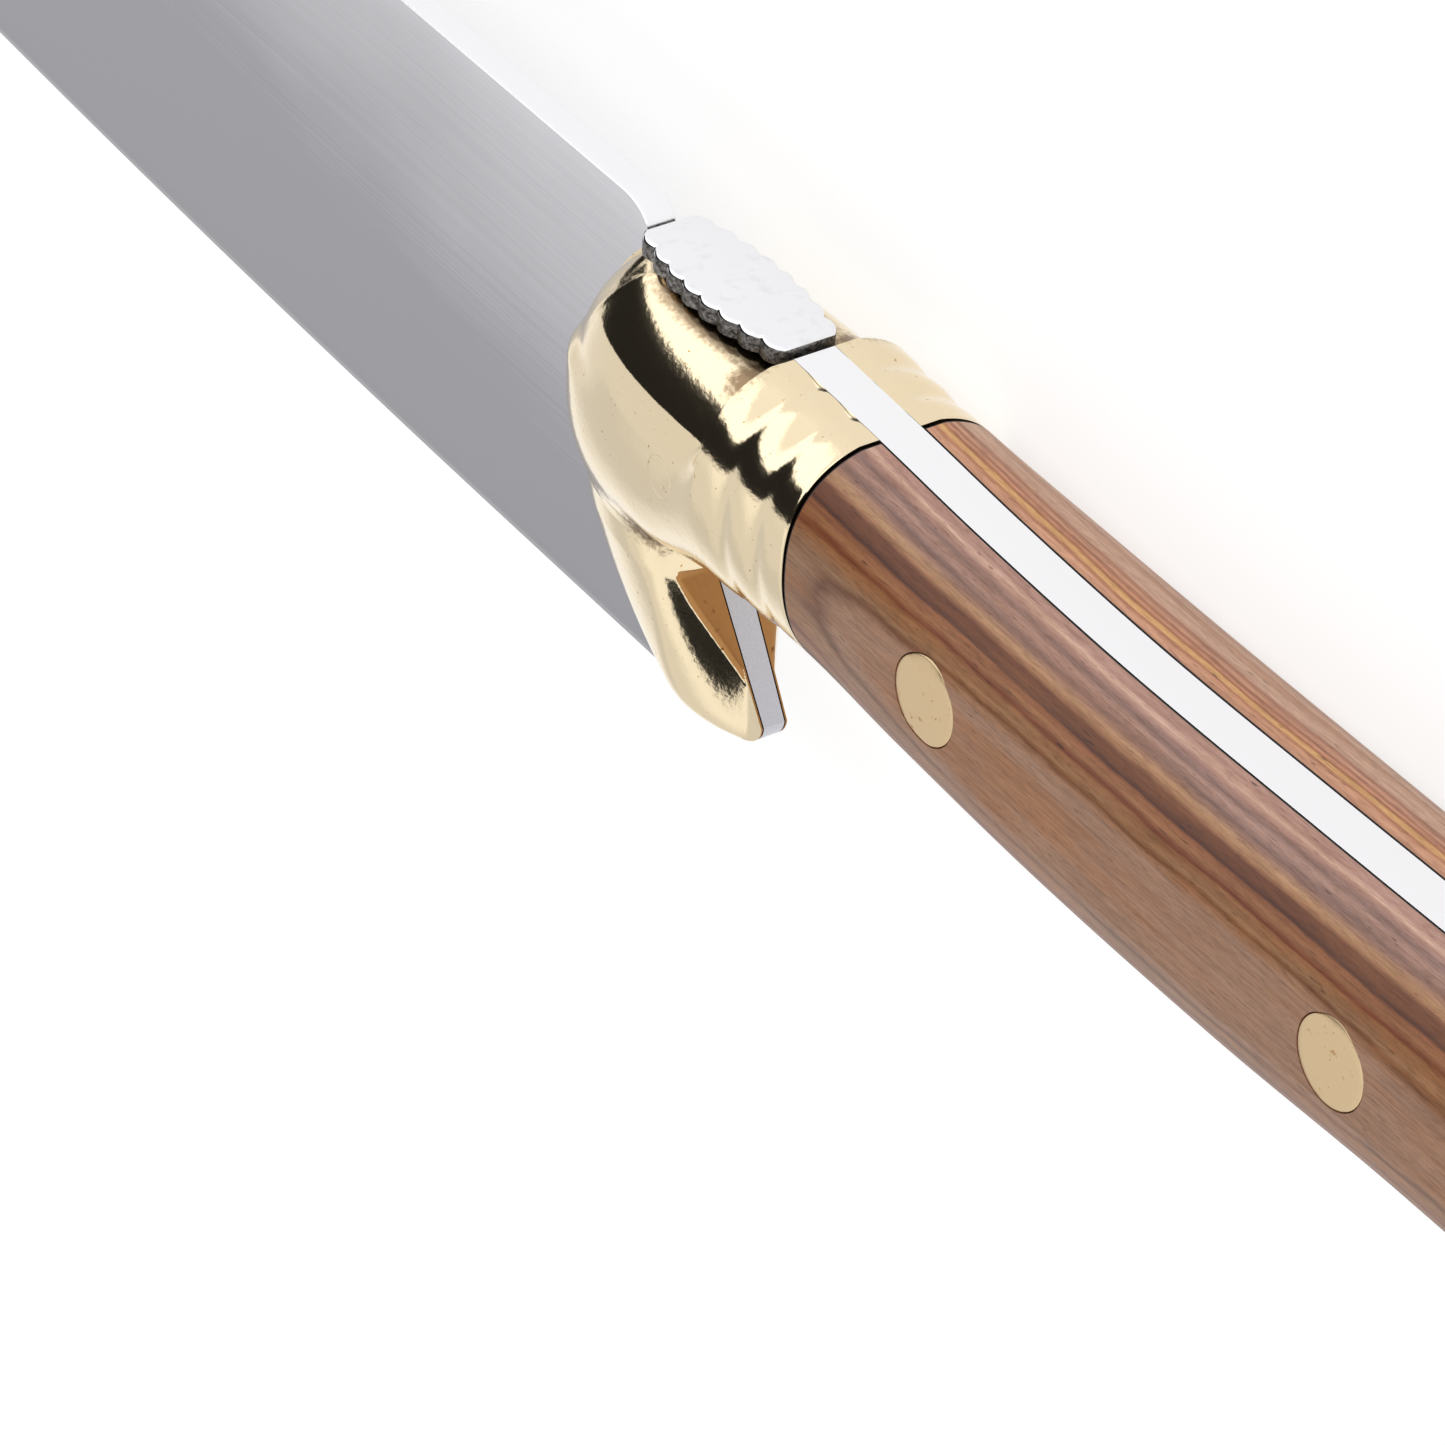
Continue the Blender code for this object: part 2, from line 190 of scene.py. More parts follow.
def slab(outline: Sequence[tuple[float, float]], lift: Callable[[float, float], float]) -> bmesh.types.BMesh:
    """Extrudes a flat outline across the knife to the same height on both sides.

    Args:
        outline: The outline's points (x, y), in order.
        lift: Gives the height over the mid-plane at (x, y).

    Returns:
        The bmesh, around a mid-plane at Z = 0.
    """
    bm = bmesh.new()
    face = bm.faces.new([bm.verts.new((x, y, 0)) for x, y in outline])
    made = bmesh.ops.extrude_face_region(bm, geom=[face], use_keep_orig=True)
    tops = {item for item in made["geom"] if isinstance(item, bmesh.types.BMVert)}
    for vert in bm.verts:
        height = lift(vert.co.x, vert.co.y)
        vert.co.z = height if vert in tops else -height
    return bm


def round_edges(bm: bmesh.types.BMesh, edges: Iterable, radius: float, segments: int) -> None:
    """Rounds edges of a bmesh.

    Args:
        bm: The bmesh.
        edges: The edges to round.
        radius: The rounding's width.
        segments: Its faces across.
    """
    bmesh.ops.bevel(
        bm,
        geom=list(edges),
        offset=radius,
        offset_type="OFFSET",
        affect="EDGES",
        segments=segments,
        profile=0.5,
        material=-1,
        clamp_overlap=True,
    )


def placed(name: str, bm: bmesh.types.BMesh) -> bpy.types.Object:
    """Turns a bmesh to an object of the scene.

    Args:
        name: The object's name.
        bm: The bmesh, which is freed.

    Returns:
        The object.
    """
    mesh = bpy.data.meshes.new(name)
    bm.to_mesh(mesh)
    bm.free()
    made = bpy.data.objects.new(name, mesh)
    bpy.context.scene.collection.objects.link(made)
    return made


def finished(
    name: str, bm: bmesh.types.BMesh, finish: Finish, crease: float = 35
) -> bpy.types.Object:
    """Turns a bmesh to a closed, smooth-shaded piece that rides on the frame.

    Args:
        name: The piece's name.
        bm: Its bmesh, which is freed.
        finish: Its finish.
        crease: Angle in degrees above which an edge stays sharp.

    Returns:
        The object.
    """
    bmesh.ops.remove_doubles(bm, verts=bm.verts, dist=WELD)
    bmesh.ops.dissolve_degenerate(bm, dist=WELD, edges=bm.edges)
    bmesh.ops.recalc_face_normals(bm, faces=bm.faces)
    bmesh.ops.triangulate(bm, faces=[f for f in bm.faces if len(f.verts) > 4])
    made = placed(name, bm)
    made.data.shade_smooth()
    made.data.set_sharp_from_angle(angle=math.radians(crease))
    made.data.materials.append(finish.material())
    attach(made, "root")
    return made


def dress_faces(
    piece: bpy.types.Object, finish: Finish, chosen: Callable[[bpy.types.MeshPolygon], bool]
) -> None:
    """Gives some faces of a piece a second finish.

    Args:
        piece: The piece.
        finish: The second finish.
        chosen: Tells whether a face gets it.
    """
    piece.data.materials.append(finish.material())
    for polygon in piece.data.polygons:
        polygon.material_index = int(chosen(polygon))


def bored(piece: bpy.types.Object, pins: Iterable[Pin], play: float) -> None:
    """Cuts pin holes right through a piece and keeps the result as its mesh.

    Args:
        piece: The piece to bore.
        pins: The pins that pass through it.
        play: Clearance round each pin.
    """
    bm = bmesh.new()
    for pin in pins:
        pin.add_rod(bm, pin.radius + play, BORE_DEPTH)
    cutter = placed("bores", bm)
    mesh = cutter.data
    cut = piece.modifiers.new("bores", "BOOLEAN")
    cut.operation = "DIFFERENCE"
    cut.solver = "EXACT"
    cut.object = cutter
    graph = bpy.context.evaluated_depsgraph_get()
    result = bpy.data.meshes.new_from_object(piece.evaluated_get(graph))
    piece.modifiers.clear()
    plain = piece.data
    piece.data = result
    bpy.data.meshes.remove(plain)
    bpy.data.objects.remove(cutter)
    bpy.data.meshes.remove(mesh)


def eased(share: float) -> float:
    """A smooth step from 0 to 1 over a share that is first kept within them."""
    share = min(max(share, 0.0), 1.0)
    return share * share * (3 - 2 * share)


def blended(low: float, high: float, share: float) -> float:
    """The value a share of the way from one value to another."""
    return low + (high - low) * share


def between(share: float, marks: Sequence[tuple[float, float]]) -> float:
    """The value at a share, on straight pieces between marks.

    Args:
        share: The share, up to the last mark's.
        marks: Pairs of share and value, in order.

    Returns:
        The value.
    """
    for (s0, v0), (s1, v1) in zip(marks, marks[1:]):
        if share <= s1:
            return blended(v0, v1, (share - s0) / (s1 - s0))
    return marks[-1][1]


# ---------------------------------------------------------------- finishes


class Finish:
    """A finish that makes its material once."""

    name: str

    def material(self) -> bpy.types.Material:
        """The finish's material, made the first time it is asked for."""
        found = bpy.data.materials.get(self.name)
        return found if found else self.made()

    def made(self) -> bpy.types.Material:
        """Makes the material."""
        raise NotImplementedError

    def in_millimetres(self, tree: bpy.types.NodeTree, stretch: tuple = (1, 1, 1)) -> bpy.types.NodeSocket:
        """Object coordinates in millimetres, each axis multiplied by its stretch."""
        place = add(tree, "TexCoord").outputs["Object"]
        scale = [1000 * s for s in stretch]
        return add(tree, "Mapping", {"Vector": place, "Scale": scale}).outputs[0]

    def mixed(self, tree: bpy.types.NodeTree, share: object, low: object, high: object, kind: str) -> object:
        """Mixes two colours.

        Args:
            tree: The node tree to add to.
            share: Share of the second colour, a number or a socket.
            low: First colour, a value or a socket.
            high: Second colour, a value or a socket.
            kind: The blend type.

        Returns:
            The mixed colour's socket.
        """
        node = add(tree, "MixRGB", {0: share, 1: low, 2: high}, blend_type=kind)
        return node.outputs[0]


    def linked(self, shader: bpy.types.Node, metal: float, **outputs: object) -> None:
        """Links a finish's colour, roughness and normal to its shader.

        Args:
            shader: The Principled shader.
            metal: Its metallic value.
            **outputs: The sockets "colour", "rough" and "normal".
        """
        links = shader.id_data.links
        links.new(outputs["colour"], shader.inputs["Base Color"])
        links.new(outputs["rough"], shader.inputs["Roughness"])
        links.new(outputs["normal"], shader.inputs["Normal"])
        shader.inputs["Metallic"].default_value = metal


@dataclass(frozen=True)
class SatinSteel(Finish):
    """Stainless steel, ground along the blade and lightly buffed.

    The eye gets a soft mirror with faint grinding lines, and a roughness that varies a little.
    """

    name: str = "satin_stainless_steel"
    tint: str = "#F1F1F3"
    shade: str = "#E4E3E7"
    roughness: float = 0.2
    painted_shade_per_mm: float = 0.0
    line_mm: float = 0.12
    line_run_per_mm: float = 0.02
    line_share: float = 0.16
    cloud_per_mm: tuple[float, float, float] = (0.06, 0.12, 0.12)
    cloud_share: float = 0.12
    tone_base: float = 0.56
    painted_shade_down: float = 5.0
    painted_shade_start_mm: float = 15.0

    def made(self) -> bpy.types.Material:
        """Makes the steel.

        Returns:
            The material.
        """
        made, tree, shader = new_material(self.name)
        # Grinding lines: far longer along X than they are wide
        fine = 1 / self.line_mm
        lines_at = self.in_millimetres(tree, (self.line_run_per_mm, fine, fine))
        lines = add(tree, "TexNoise", {"Vector": lines_at, "Scale": 1.0, "Detail": 3.0}).outputs[0]
        cloud_at = self.in_millimetres(tree, self.cloud_per_mm)
        cloud = add(tree, "TexNoise", {"Vector": cloud_at, "Scale": 1.0, "Detail": 2.0}).outputs[0]
        clouded = {0: cloud, 1: self.cloud_share, 2: self.tone_base}
        cloud = add(tree, "Math", clouded, operation="MULTIPLY_ADD").outputs[0]
        lined = {0: lines, 1: self.line_share, 2: cloud}
        tone = add(tree, "Math", lined, operation="MULTIPLY_ADD").outputs[0]
        # Painted shade: the colour darkens ahead of the bolster and down to the edge, standing in for light
        # that falls off across the blade
        axes = add(tree, "SeparateXYZ", {0: self.in_millimetres(tree)}).outputs
        reach = {0: axes[1], 1: self.painted_shade_down, 2: axes[0]}
        away = add(tree, "Math", reach, operation="MULTIPLY_ADD").outputs[0]
        away = add(tree, "Math", {0: away, 1: self.painted_shade_start_mm}, operation="SUBTRACT").outputs[0]
        painted_shade_inputs = {0: away, 1: -self.painted_shade_per_mm, 2: tone}
        tone = add(tree, "Math", painted_shade_inputs, operation="MULTIPLY_ADD").outputs[0]
        colour = add(tree, "ValToRGB", {0: tone}, stops=((0.35, self.shade), (0.68, self.tint)))
        polish = {"Value": tone, "From Min": 0.35, "From Max": 0.8}
        polish.update({"To Min": self.roughness * 1.15, "To Max": self.roughness * 0.85})
        rough = add(tree, "MapRange", polish).outputs[0]
        bump = add(tree, "Bump", {"Height": lines, "Strength": 0.05, "Distance": 0.00001})
        self.linked(shader, 1.0, colour=colour.outputs[0], rough=rough, normal=bump.outputs[0])
        return made


@dataclass(frozen=True)
class PolishedSteel(Finish):
    """Nickel-bright steel of the plate on the spine, mirror polished with a few soft marks."""

    name: str = "mirror_polished_steel"
    tint: str = "#EDEDF0"
    shade: str = "#E2E2E6"
    roughness: float = 0.07
    mark_mm: float = 1.4

    def made(self) -> bpy.types.Material:
        """Makes the plate's steel.

        Returns:
            The material.
        """
        made, tree, shader = new_material(self.name)
        at = self.in_millimetres(tree, (1 / self.mark_mm,) * 3)
        marks = add(tree, "TexNoise", {"Vector": at, "Scale": 1.0, "Detail": 5.0}).outputs[0]
        colour = add(tree, "ValToRGB", {0: marks}, stops=((0.25, self.shade), (0.45, self.tint)))
        polish = {"Value": marks, "From Min": 0.3, "From Max": 0.7}
        polish.update({"To Min": self.roughness * 1.8, "To Max": self.roughness * 0.7})
        rough = add(tree, "MapRange", polish).outputs[0]
        bump = add(tree, "Bump", {"Height": marks, "Strength": 0.02, "Distance": 0.00002})
        self.linked(shader, 1.0, colour=colour.outputs[0], rough=rough, normal=bump.outputs[0])
        return made


@dataclass(frozen=True)
class CastSteel(Finish):
    """Edge of the spine plate as it left the mould: dark, grainy and only half cleaned."""

    name: str = "as_cast_steel_edge"
    dark: str = "#3C3937"
    bright: str = "#A9A5A1"
    roughness: float = 0.38
    grain_mm: float = 0.3

    def made(self) -> bpy.types.Material:
        """Makes the plate edge's steel.

        Returns:
            The material.
        """
        made, tree, shader = new_material(self.name)
        at = self.in_millimetres(tree, (1 / self.grain_mm,) * 3)
        noise = {"Vector": at, "Scale": 1.0, "Detail": 5.0, "Roughness": 0.7}
        grain = add(tree, "TexNoise", noise).outputs[0]
        colour = add(tree, "ValToRGB", {0: grain}, stops=((0.4, self.dark), (0.72, self.bright)))
        polish = {"Value": grain, "To Min": self.roughness * 1.3, "To Max": self.roughness * 0.7}
        rough = add(tree, "MapRange", polish).outputs[0]
        bump = add(tree, "Bump", {"Height": grain, "Strength": 0.4, "Distance": 0.00008})
        self.linked(shader, 1.0, colour=colour.outputs[0], rough=rough, normal=bump.outputs[0])
        return made


@dataclass(frozen=True)
class PaintedShadeHollow:
    """A hollow in the brass darkened by painted brown shade, the same on both sides.

    Its centre and reach are in millimetres, with Z counted from the mid-plane.
    """

    centre: tuple[float, float, float]
    reach: tuple[float, float, float]
    depth: float


@dataclass(frozen=True)
class Brass(Finish):
    """Cast brass, hand polished, with tarnish freckles, scratches and painted brown shade in its hollows.

    The eye gets a soft mirror whose reflections break up at their borders.
    """

    name: str
    tint: str
    tarnish: str
    roughness: float
    patch_mm: float
    patch_share: float
    wave: float
    mid_plane: float = 0.0
    painted_shade_hollows: tuple[PaintedShadeHollow, ...] = ()
    painted_shade_colour: str = "#5E3E20"
    fray: float = 1.1
    border: tuple[float, float] = (0.9, 1.7)
    speck_per_mm: float = 2.6
    wave_per_mm: tuple[float, float, float] = (0.45, 0.7, 0.7)
    hair_per_mm: tuple[float, float, float] = (1.2, 14.0, 14.0)

    def painted_shade_share(self, tree: bpy.types.NodeTree, grain: bpy.types.NodeSocket) -> object:
        """Share of painted shade from all the hollows.

        Args:
            tree: The node tree to add to.
            grain: Noise that frays the hollows' borders.

        Returns:
            The share, zero or a socket.
        """
        axes = add(tree, "SeparateXYZ", {0: add(tree, "TexCoord").outputs["Object"]}).outputs
        centred = add(tree, "Math", {0: axes[2], 1: self.mid_plane}, operation="SUBTRACT").outputs[0]
        away = add(tree, "Math", {0: centred}, operation="ABSOLUTE").outputs[0]
        folded = add(tree, "CombineXYZ", {0: axes[0], 1: axes[1], 2: away}).outputs[0]
        share: object = 0.0
        for painted_shade in self.painted_shade_hollows:
            centre = [c * MM for c in painted_shade.centre]
            reach = [r * MM for r in painted_shade.reach]
            offset = add(tree, "VectorMath", {0: folded, 1: centre}, operation="SUBTRACT").outputs[0]
            ratio = add(tree, "VectorMath", {0: offset, 1: reach}, operation="DIVIDE").outputs[0]
            length = add(tree, "VectorMath", {0: ratio}, operation="LENGTH").outputs["Value"]
            rough_edge = {0: grain, 1: self.fray, 2: length}
            frayed = add(tree, "Math", rough_edge, operation="MULTIPLY_ADD").outputs[0]
            fade = {"Value": frayed, "From Min": self.border[0], "From Max": self.border[1]}
            fade.update({"To Min": painted_shade.depth, "To Max": 0.0})
            inside = add(tree, "MapRange", fade, interpolation_type="SMOOTHSTEP").outputs[0]
            share = add(tree, "Math", {0: inside, 1: share}, operation="MAXIMUM").outputs[0]
        return share

    def made(self) -> bpy.types.Material:
        """Makes the brass.

        Returns:
            The material.
        """
        made, tree, shader = new_material(self.name)
        patch_at = self.in_millimetres(tree, (1 / self.patch_mm,) * 3)
        noise = {"Vector": patch_at, "Scale": 1.0, "Detail": 6.0, "Roughness": 0.62}
        patches = add(tree, "TexNoise", noise)
        edge = 0.5 + 0.25 * (1 - self.patch_share)
        toned = {"Value": patches.outputs[0], "From Min": edge, "From Max": edge + 0.14}
        share = add(tree, "MapRange", toned, interpolation_type="SMOOTHSTEP").outputs[0]
        # Freckles of about 0.4 mm
        speck_at = self.in_millimetres(tree, (self.speck_per_mm,) * 3)
        specks = add(tree, "TexNoise", {"Vector": speck_at, "Scale": 1.0, "Detail": 3.0}).outputs[0]
        dots = {"Value": specks, "From Min": 0.68, "From Max": 0.76}
        freckles = add(tree, "MapRange", dots, interpolation_type="SMOOTHSTEP").outputs[0]
        worn = add(tree, "Math", {0: share, 1: freckles}, operation="MAXIMUM").outputs[0]
        colour = self.mixed(tree, worn, linear(self.tint), linear(self.tarnish), "MIX")
        # Painted shade: dark brown mixed into the colour in the listed hollows, where the rim, the spine
        # plate and the spur's valley shade the brass
        painted_shade = self.painted_shade_share(tree, specks)
        colour = self.mixed(tree, painted_shade, colour, linear(self.painted_shade_colour), "MIX")
        dull = add(tree, "Math", {0: worn, 1: painted_shade}, operation="MAXIMUM").outputs[0]
        polish = {"Value": dull, "To Min": self.roughness, "To Max": self.roughness * 2.2}
        rough = add(tree, "MapRange", polish).outputs[0]
        # Hand polishing leaves waves of 2 mm, ripples of 0.5 mm and hairlines along the knife
        wave_at = self.in_millimetres(tree, self.wave_per_mm)
        waves = add(tree, "TexNoise", {"Vector": wave_at, "Scale": 1.0, "Detail": 2.5}).outputs[0]
        hammer = add(tree, "Bump", {"Height": waves, "Strength": self.wave, "Distance": 0.0003})
        ripple = {"Height": specks, "Strength": 0.20, "Distance": 0.00006, "Normal": hammer.outputs[0]}
        rippled = add(tree, "Bump", ripple).outputs[0]
        hair_at = self.in_millimetres(tree, self.hair_per_mm)
        hairs = add(tree, "TexNoise", {"Vector": hair_at, "Scale": 1.0, "Detail": 2.0}).outputs[0]
        fine = {"Height": hairs, "Strength": 0.06, "Distance": 0.00002, "Normal": rippled}
        self.linked(shader, 1.0, colour=colour, rough=rough, normal=add(tree, "Bump", fine).outputs[0])
        return made


@dataclass(frozen=True)
class OiledWood(Finish):
    """Straight-grained fruitwood, sanded fine and oiled.

    The growth layers lie nearly parallel to the scale's side. The rounded shoulder cuts
    through them as stripes, and the flat side shows one layer as mottled grain.
    """

    name: str
    side: Side
    mid_plane: float
    layers: tuple[tuple[float, str], ...]
    patch: str
    joint_x: float
    tang_half: float = 0.00171
    glue: str = "#1C1612"
    depth_mm: float = 10.0
    roughness: float = 0.42
    long_wave_per_mm: tuple[float, float, float] = (0.022, 0.05, 0.05)
    long_wave_mm: float = 1.1
    short_wave_per_mm: tuple[float, float, float] = (0.11, 0.3, 0.3)
    short_wave_mm: float = 0.5
    mean_wave_mm: float = 0.8
    flank_share: tuple[float, float] = (0.74, 0.86)
    patch_per_mm: tuple[float, float, float] = (0.05, 0.34, 0.5)
    fibre_per_mm: tuple[float, float, float] = (0.16, 3.2, 3.2)
    fine_per_mm: tuple[float, float, float] = (0.9, 9.0, 9.0)
    pore_per_mm: tuple[float, float, float] = (0.7, 5.0, 5.0)
    glue_line_mm: float = 0.08

    def layer_depth(self, tree: bpy.types.NodeTree) -> bpy.types.NodeSocket:
        """Distance from the mid-plane in millimetres, with the layers' waves along the knife.

        Args:
            tree: The node tree to add to.

        Returns:
            The depth, divided by the greatest depth.
        """
        place = add(tree, "TexCoord").outputs["Object"]
        centre = [0, 0, -1000 * self.side.value * self.mid_plane]
        turn = {"Vector": place, "Location": centre, "Scale": (1000, 1000, 1000 * self.side.value)}
        at = add(tree, "Mapping", turn).outputs[0]
        axes = add(tree, "SeparateXYZ", {0: at}).outputs
        long_at = self.in_millimetres(tree, self.long_wave_per_mm)
        long_wave = add(tree, "TexNoise", {"Vector": long_at, "Scale": 1.0, "Detail": 1.0}).outputs[0]
        short_at = self.in_millimetres(tree, self.short_wave_per_mm)
        short_wave = add(tree, "TexNoise", {"Vector": short_at, "Scale": 1.0, "Detail": 3.0}).outputs[0]
        # Waves of about a millimetre along the knife, with smaller ones on them
        depth = axes[2]
        for wave, size in ((long_wave, self.long_wave_mm), (short_wave, self.short_wave_mm)):
            depth = add(tree, "Math", {0: wave, 1: size, 2: depth}, operation="MULTIPLY_ADD").outputs[0]
        depth = add(tree, "Math", {0: depth, 1: self.mean_wave_mm}, operation="SUBTRACT").outputs[0]
        return add(tree, "Math", {0: depth, 1: self.depth_mm}, operation="DIVIDE").outputs[0]

    def made(self) -> bpy.types.Material:
        """Makes the wood.

        Returns:
            The material.
        """
        made, tree, shader = new_material(self.name)
        stops = [(depth / self.depth_mm, code) for depth, code in self.layers]
        depth = self.layer_depth(tree)
        layers = add(tree, "ValToRGB", {0: depth}, stops=stops).outputs[0]
        near, far = self.flank_share
        flank = {"Value": depth, "From Min": near, "From Max": far, "To Min": 0.25}
        on_flank = add(tree, "MapRange", flank, interpolation_type="SMOOTHSTEP").outputs[0]
        grain = {"Scale": 1.0, "Detail": 4.0, "Roughness": 0.6}
        # Mottled patches a few millimetres across, drawn out along the grain
        patch_at = self.in_millimetres(tree, self.patch_per_mm)
        patch_noise = add(tree, "TexNoise", {"Vector": patch_at, **grain}).outputs[0]
        spread = {"Value": patch_noise, "From Min": 0.42, "From Max": 0.66, "To Max": 0.75}
        patch_share = add(tree, "MapRange", spread, interpolation_type="SMOOTHSTEP").outputs[0]
        patch_share = add(tree, "Math", {0: patch_share, 1: on_flank}, operation="MULTIPLY").outputs[0]
        toned = self.mixed(tree, patch_share, layers, linear(self.patch), "MIX")
        # Fibres 0.3 mm wide and finer ones of 0.1 mm
        fibre_at = self.in_millimetres(tree, self.fibre_per_mm)
        fibre = add(tree, "TexNoise", {"Vector": fibre_at, **grain}).outputs[0]
        fine_at = self.in_millimetres(tree, self.fine_per_mm)
        fine = add(tree, "TexNoise", {"Vector": fine_at, **grain}).outputs[0]
        streaks = add(tree, "ValToRGB", {0: fibre}, stops=((0.3, "#CFC4BA"), (0.62, "#FFFFFF"))).outputs[0]
        flecks = add(tree, "ValToRGB", {0: fine}, stops=((0.32, "#C2B8B0"), (0.55, "#FFFFFF"))).outputs[0]
        toned = self.mixed(tree, 0.75, toned, streaks, "MULTIPLY")
        toned = self.mixed(tree, 0.6, toned, flecks, "MULTIPLY")
        # Open pores: sparse dark dashes
        pore_at = self.in_millimetres(tree, self.pore_per_mm)
        pores = add(tree, "TexNoise", {"Vector": pore_at, "Scale": 1.0, "Detail": 1.0}).outputs[0]
        holes = add(tree, "ValToRGB", {0: pores}, stops=((0.70, "#FFFFFF"), (0.78, "#8A7A70"))).outputs[0]
        toned = self.mixed(tree, 0.8, toned, holes, "MULTIPLY")
        toned = self.mixed(tree, self.glued(tree), toned, linear(self.glue), "MIX")
        sheen = {"Value": fine, "To Min": self.roughness * 1.2, "To Max": self.roughness * 0.85}
        rough = add(tree, "MapRange", sheen).outputs[0]
        relief = {"Height": fine, "Strength": 0.25, "Distance": 0.00003}
        self.linked(shader, 0.0, colour=toned, rough=rough, normal=add(tree, "Bump", relief).outputs[0])
        shader.inputs["Specular IOR Level"].default_value = 0.4
        return made

    def glued(self, tree: bpy.types.NodeTree) -> bpy.types.NodeSocket:
        """Share of dark glue stain: the end against the bolster and the face on the tang.

        Args:
            tree: The node tree to add to.

        Returns:
            The share's socket.
        """
        axes = add(tree, "SeparateXYZ", {0: add(tree, "TexCoord").outputs["Object"]}).outputs
        line_x = self.joint_x - self.glue_line_mm * MM
        behind = add(tree, "Math", {0: axes[0], 1: line_x}, operation="GREATER_THAN").outputs[0]
        centred = add(tree, "Math", {0: axes[2], 1: self.mid_plane}, operation="SUBTRACT").outputs[0]
        away = add(tree, "Math", {0: centred}, operation="ABSOLUTE").outputs[0]
        inside = add(tree, "Math", {0: away, 1: self.tang_half}, operation="LESS_THAN").outputs[0]
        return add(tree, "Math", {0: behind, 1: inside}, operation="MAXIMUM").outputs[0]


# ---------------------------------------------------------------- forms shared by the pieces


@dataclass(frozen=True)
class HandleForm:
    """Outer form of the handle, from the butt to the collar's front rim."""

    butt_x: float
    mid_plane: float
    land: float
    stations: tuple[tuple[float, float, float, float], ...] = (
        (-0.084, 0.0058, 0.0128, 0.0088),
        (-0.070, 0.0071, 0.0117, 0.0091),
        (-0.050, 0.0078, 0.0098, 0.0090),
        (-0.025, 0.0069, 0.0099, 0.0091),
        (-0.008, 0.0064, 0.0109, 0.00925),
        (0.010, 0.0061, 0.0111, 0.00925),
        (0.025, 0.0066, 0.0106, 0.0089),
        (0.0357, 0.00735, 0.0101, 0.00846),
        (0.0453, 0.0079, 0.0104, 0.0088),
    )
    top_power: float = 2.5
    top_flat: float = 1.035
    belly_power: float = 2.1
    butt_round: float = 0.012
    butt_power: float = 2.6
    butt_fullest: float = 0.985
    butt_centre: float = 0.004
    core_half: float = 0.00155
    core_taper: float = 0.025
    core_datum: float = -0.007

    def through(self, x: float, column: int) -> float:
        """A smooth curve through one column of the stations.

        Args:
            x: Place along the knife.
            column: 1 spine height, 2 belly height, 3 half-width.

        Returns:
            The curve's value at x.
        """
        points = self.stations
        x = min(max(x, points[0][0]), points[-1][0])
        i = max(k for k in range(len(points) - 1) if points[k][0] <= x)

        def slope(k: int) -> float:
            """Slope of the column at station k."""
            a, b = max(k - 1, 0), min(k + 1, len(points) - 1)
            return (points[b][column] - points[a][column]) / (points[b][0] - points[a][0])

        span = points[i + 1][0] - points[i][0]
        t = (x - points[i][0]) / span
        rise = points[i + 1][column] - points[i][column]
        bend_in = slope(i) * span - rise
        bend_out = rise - slope(i + 1) * span
        return points[i][column] + t * rise + t * (1 - t) * ((1 - t) * bend_in + t * bend_out)

    def at(self, x: float) -> tuple[float, float, float]:
        """Spine Y, belly Y and half-width at x, with the butt rounded."""
        top, belly, half = (self.through(x, k) for k in (1, 2, 3))
        into = max(0.0, 1 - (x - self.butt_x) / self.butt_round)
        share = (1 - min(into, self.butt_fullest) ** self.butt_power) ** (1 / self.butt_power)
        centre = self.butt_centre if into > 0 else 0
        return centre - (top + centre) * share, centre + (belly - centre) * share, half * share

    def core(self, y: float) -> float:
        """Half-thickness of the steel core at the height y."""
        return self.core_half - self.core_taper * (y - self.core_datum)

    def quarter(self, y: float, reach: float, half: float, power: float) -> float:
        """Half-width of a superellipse quarter at the height y."""
        return half * max(0.0, 1 - (abs(y) / reach) ** power) ** (1 / power)

    def side(self, x: float, y: float) -> float:
        """Half-width of the handle at the side point (x, y)."""
        spine, belly, half = self.at(x)
        if y < 0:
            return min(self.land, self.quarter(y, -spine * self.top_flat, half, self.top_power))
        return min(self.land, self.quarter(y, belly, half, self.belly_power))

    def ring(self, x: float, share: float, gap: float) -> tuple[float, float]:
        """A point of the handle's half section, round from the spine to the belly.

        Args:
            x: Place along the knife.
            share: 0 at the core on the spine side, 1 at the core on the belly side.
            gap: Clearance to the core.

        Returns:
            The point's Y and its height over the mid-plane.
        """
        spine, belly, half = self.at(x)
        top_angle = math.asin(self.top_flat ** (-self.top_power / 2))
        flat_share, top_share = 0.05, 0.55
        if share < flat_share:
            width = half * math.cos(top_angle) ** (2 / self.top_power)
            return spine, blended(self.core(spine) + gap, width, share / flat_share)
        if share < top_share:
            angle = top_angle * (1 - (share - flat_share) / (top_share - flat_share))
            y = spine * self.top_flat * math.sin(angle) ** (2 / self.top_power)
            return y, min(self.land, half * math.cos(angle) ** (2 / self.top_power))
        low = self.core(belly) + gap
        last = math.acos(min(1.0, (low / half)) ** (self.belly_power / 2))
        angle = last * (share - top_share) / (1 - top_share)
        y = belly * math.sin(angle) ** (2 / self.belly_power)
        return y, min(self.land, half * math.cos(angle) ** (2 / self.belly_power))


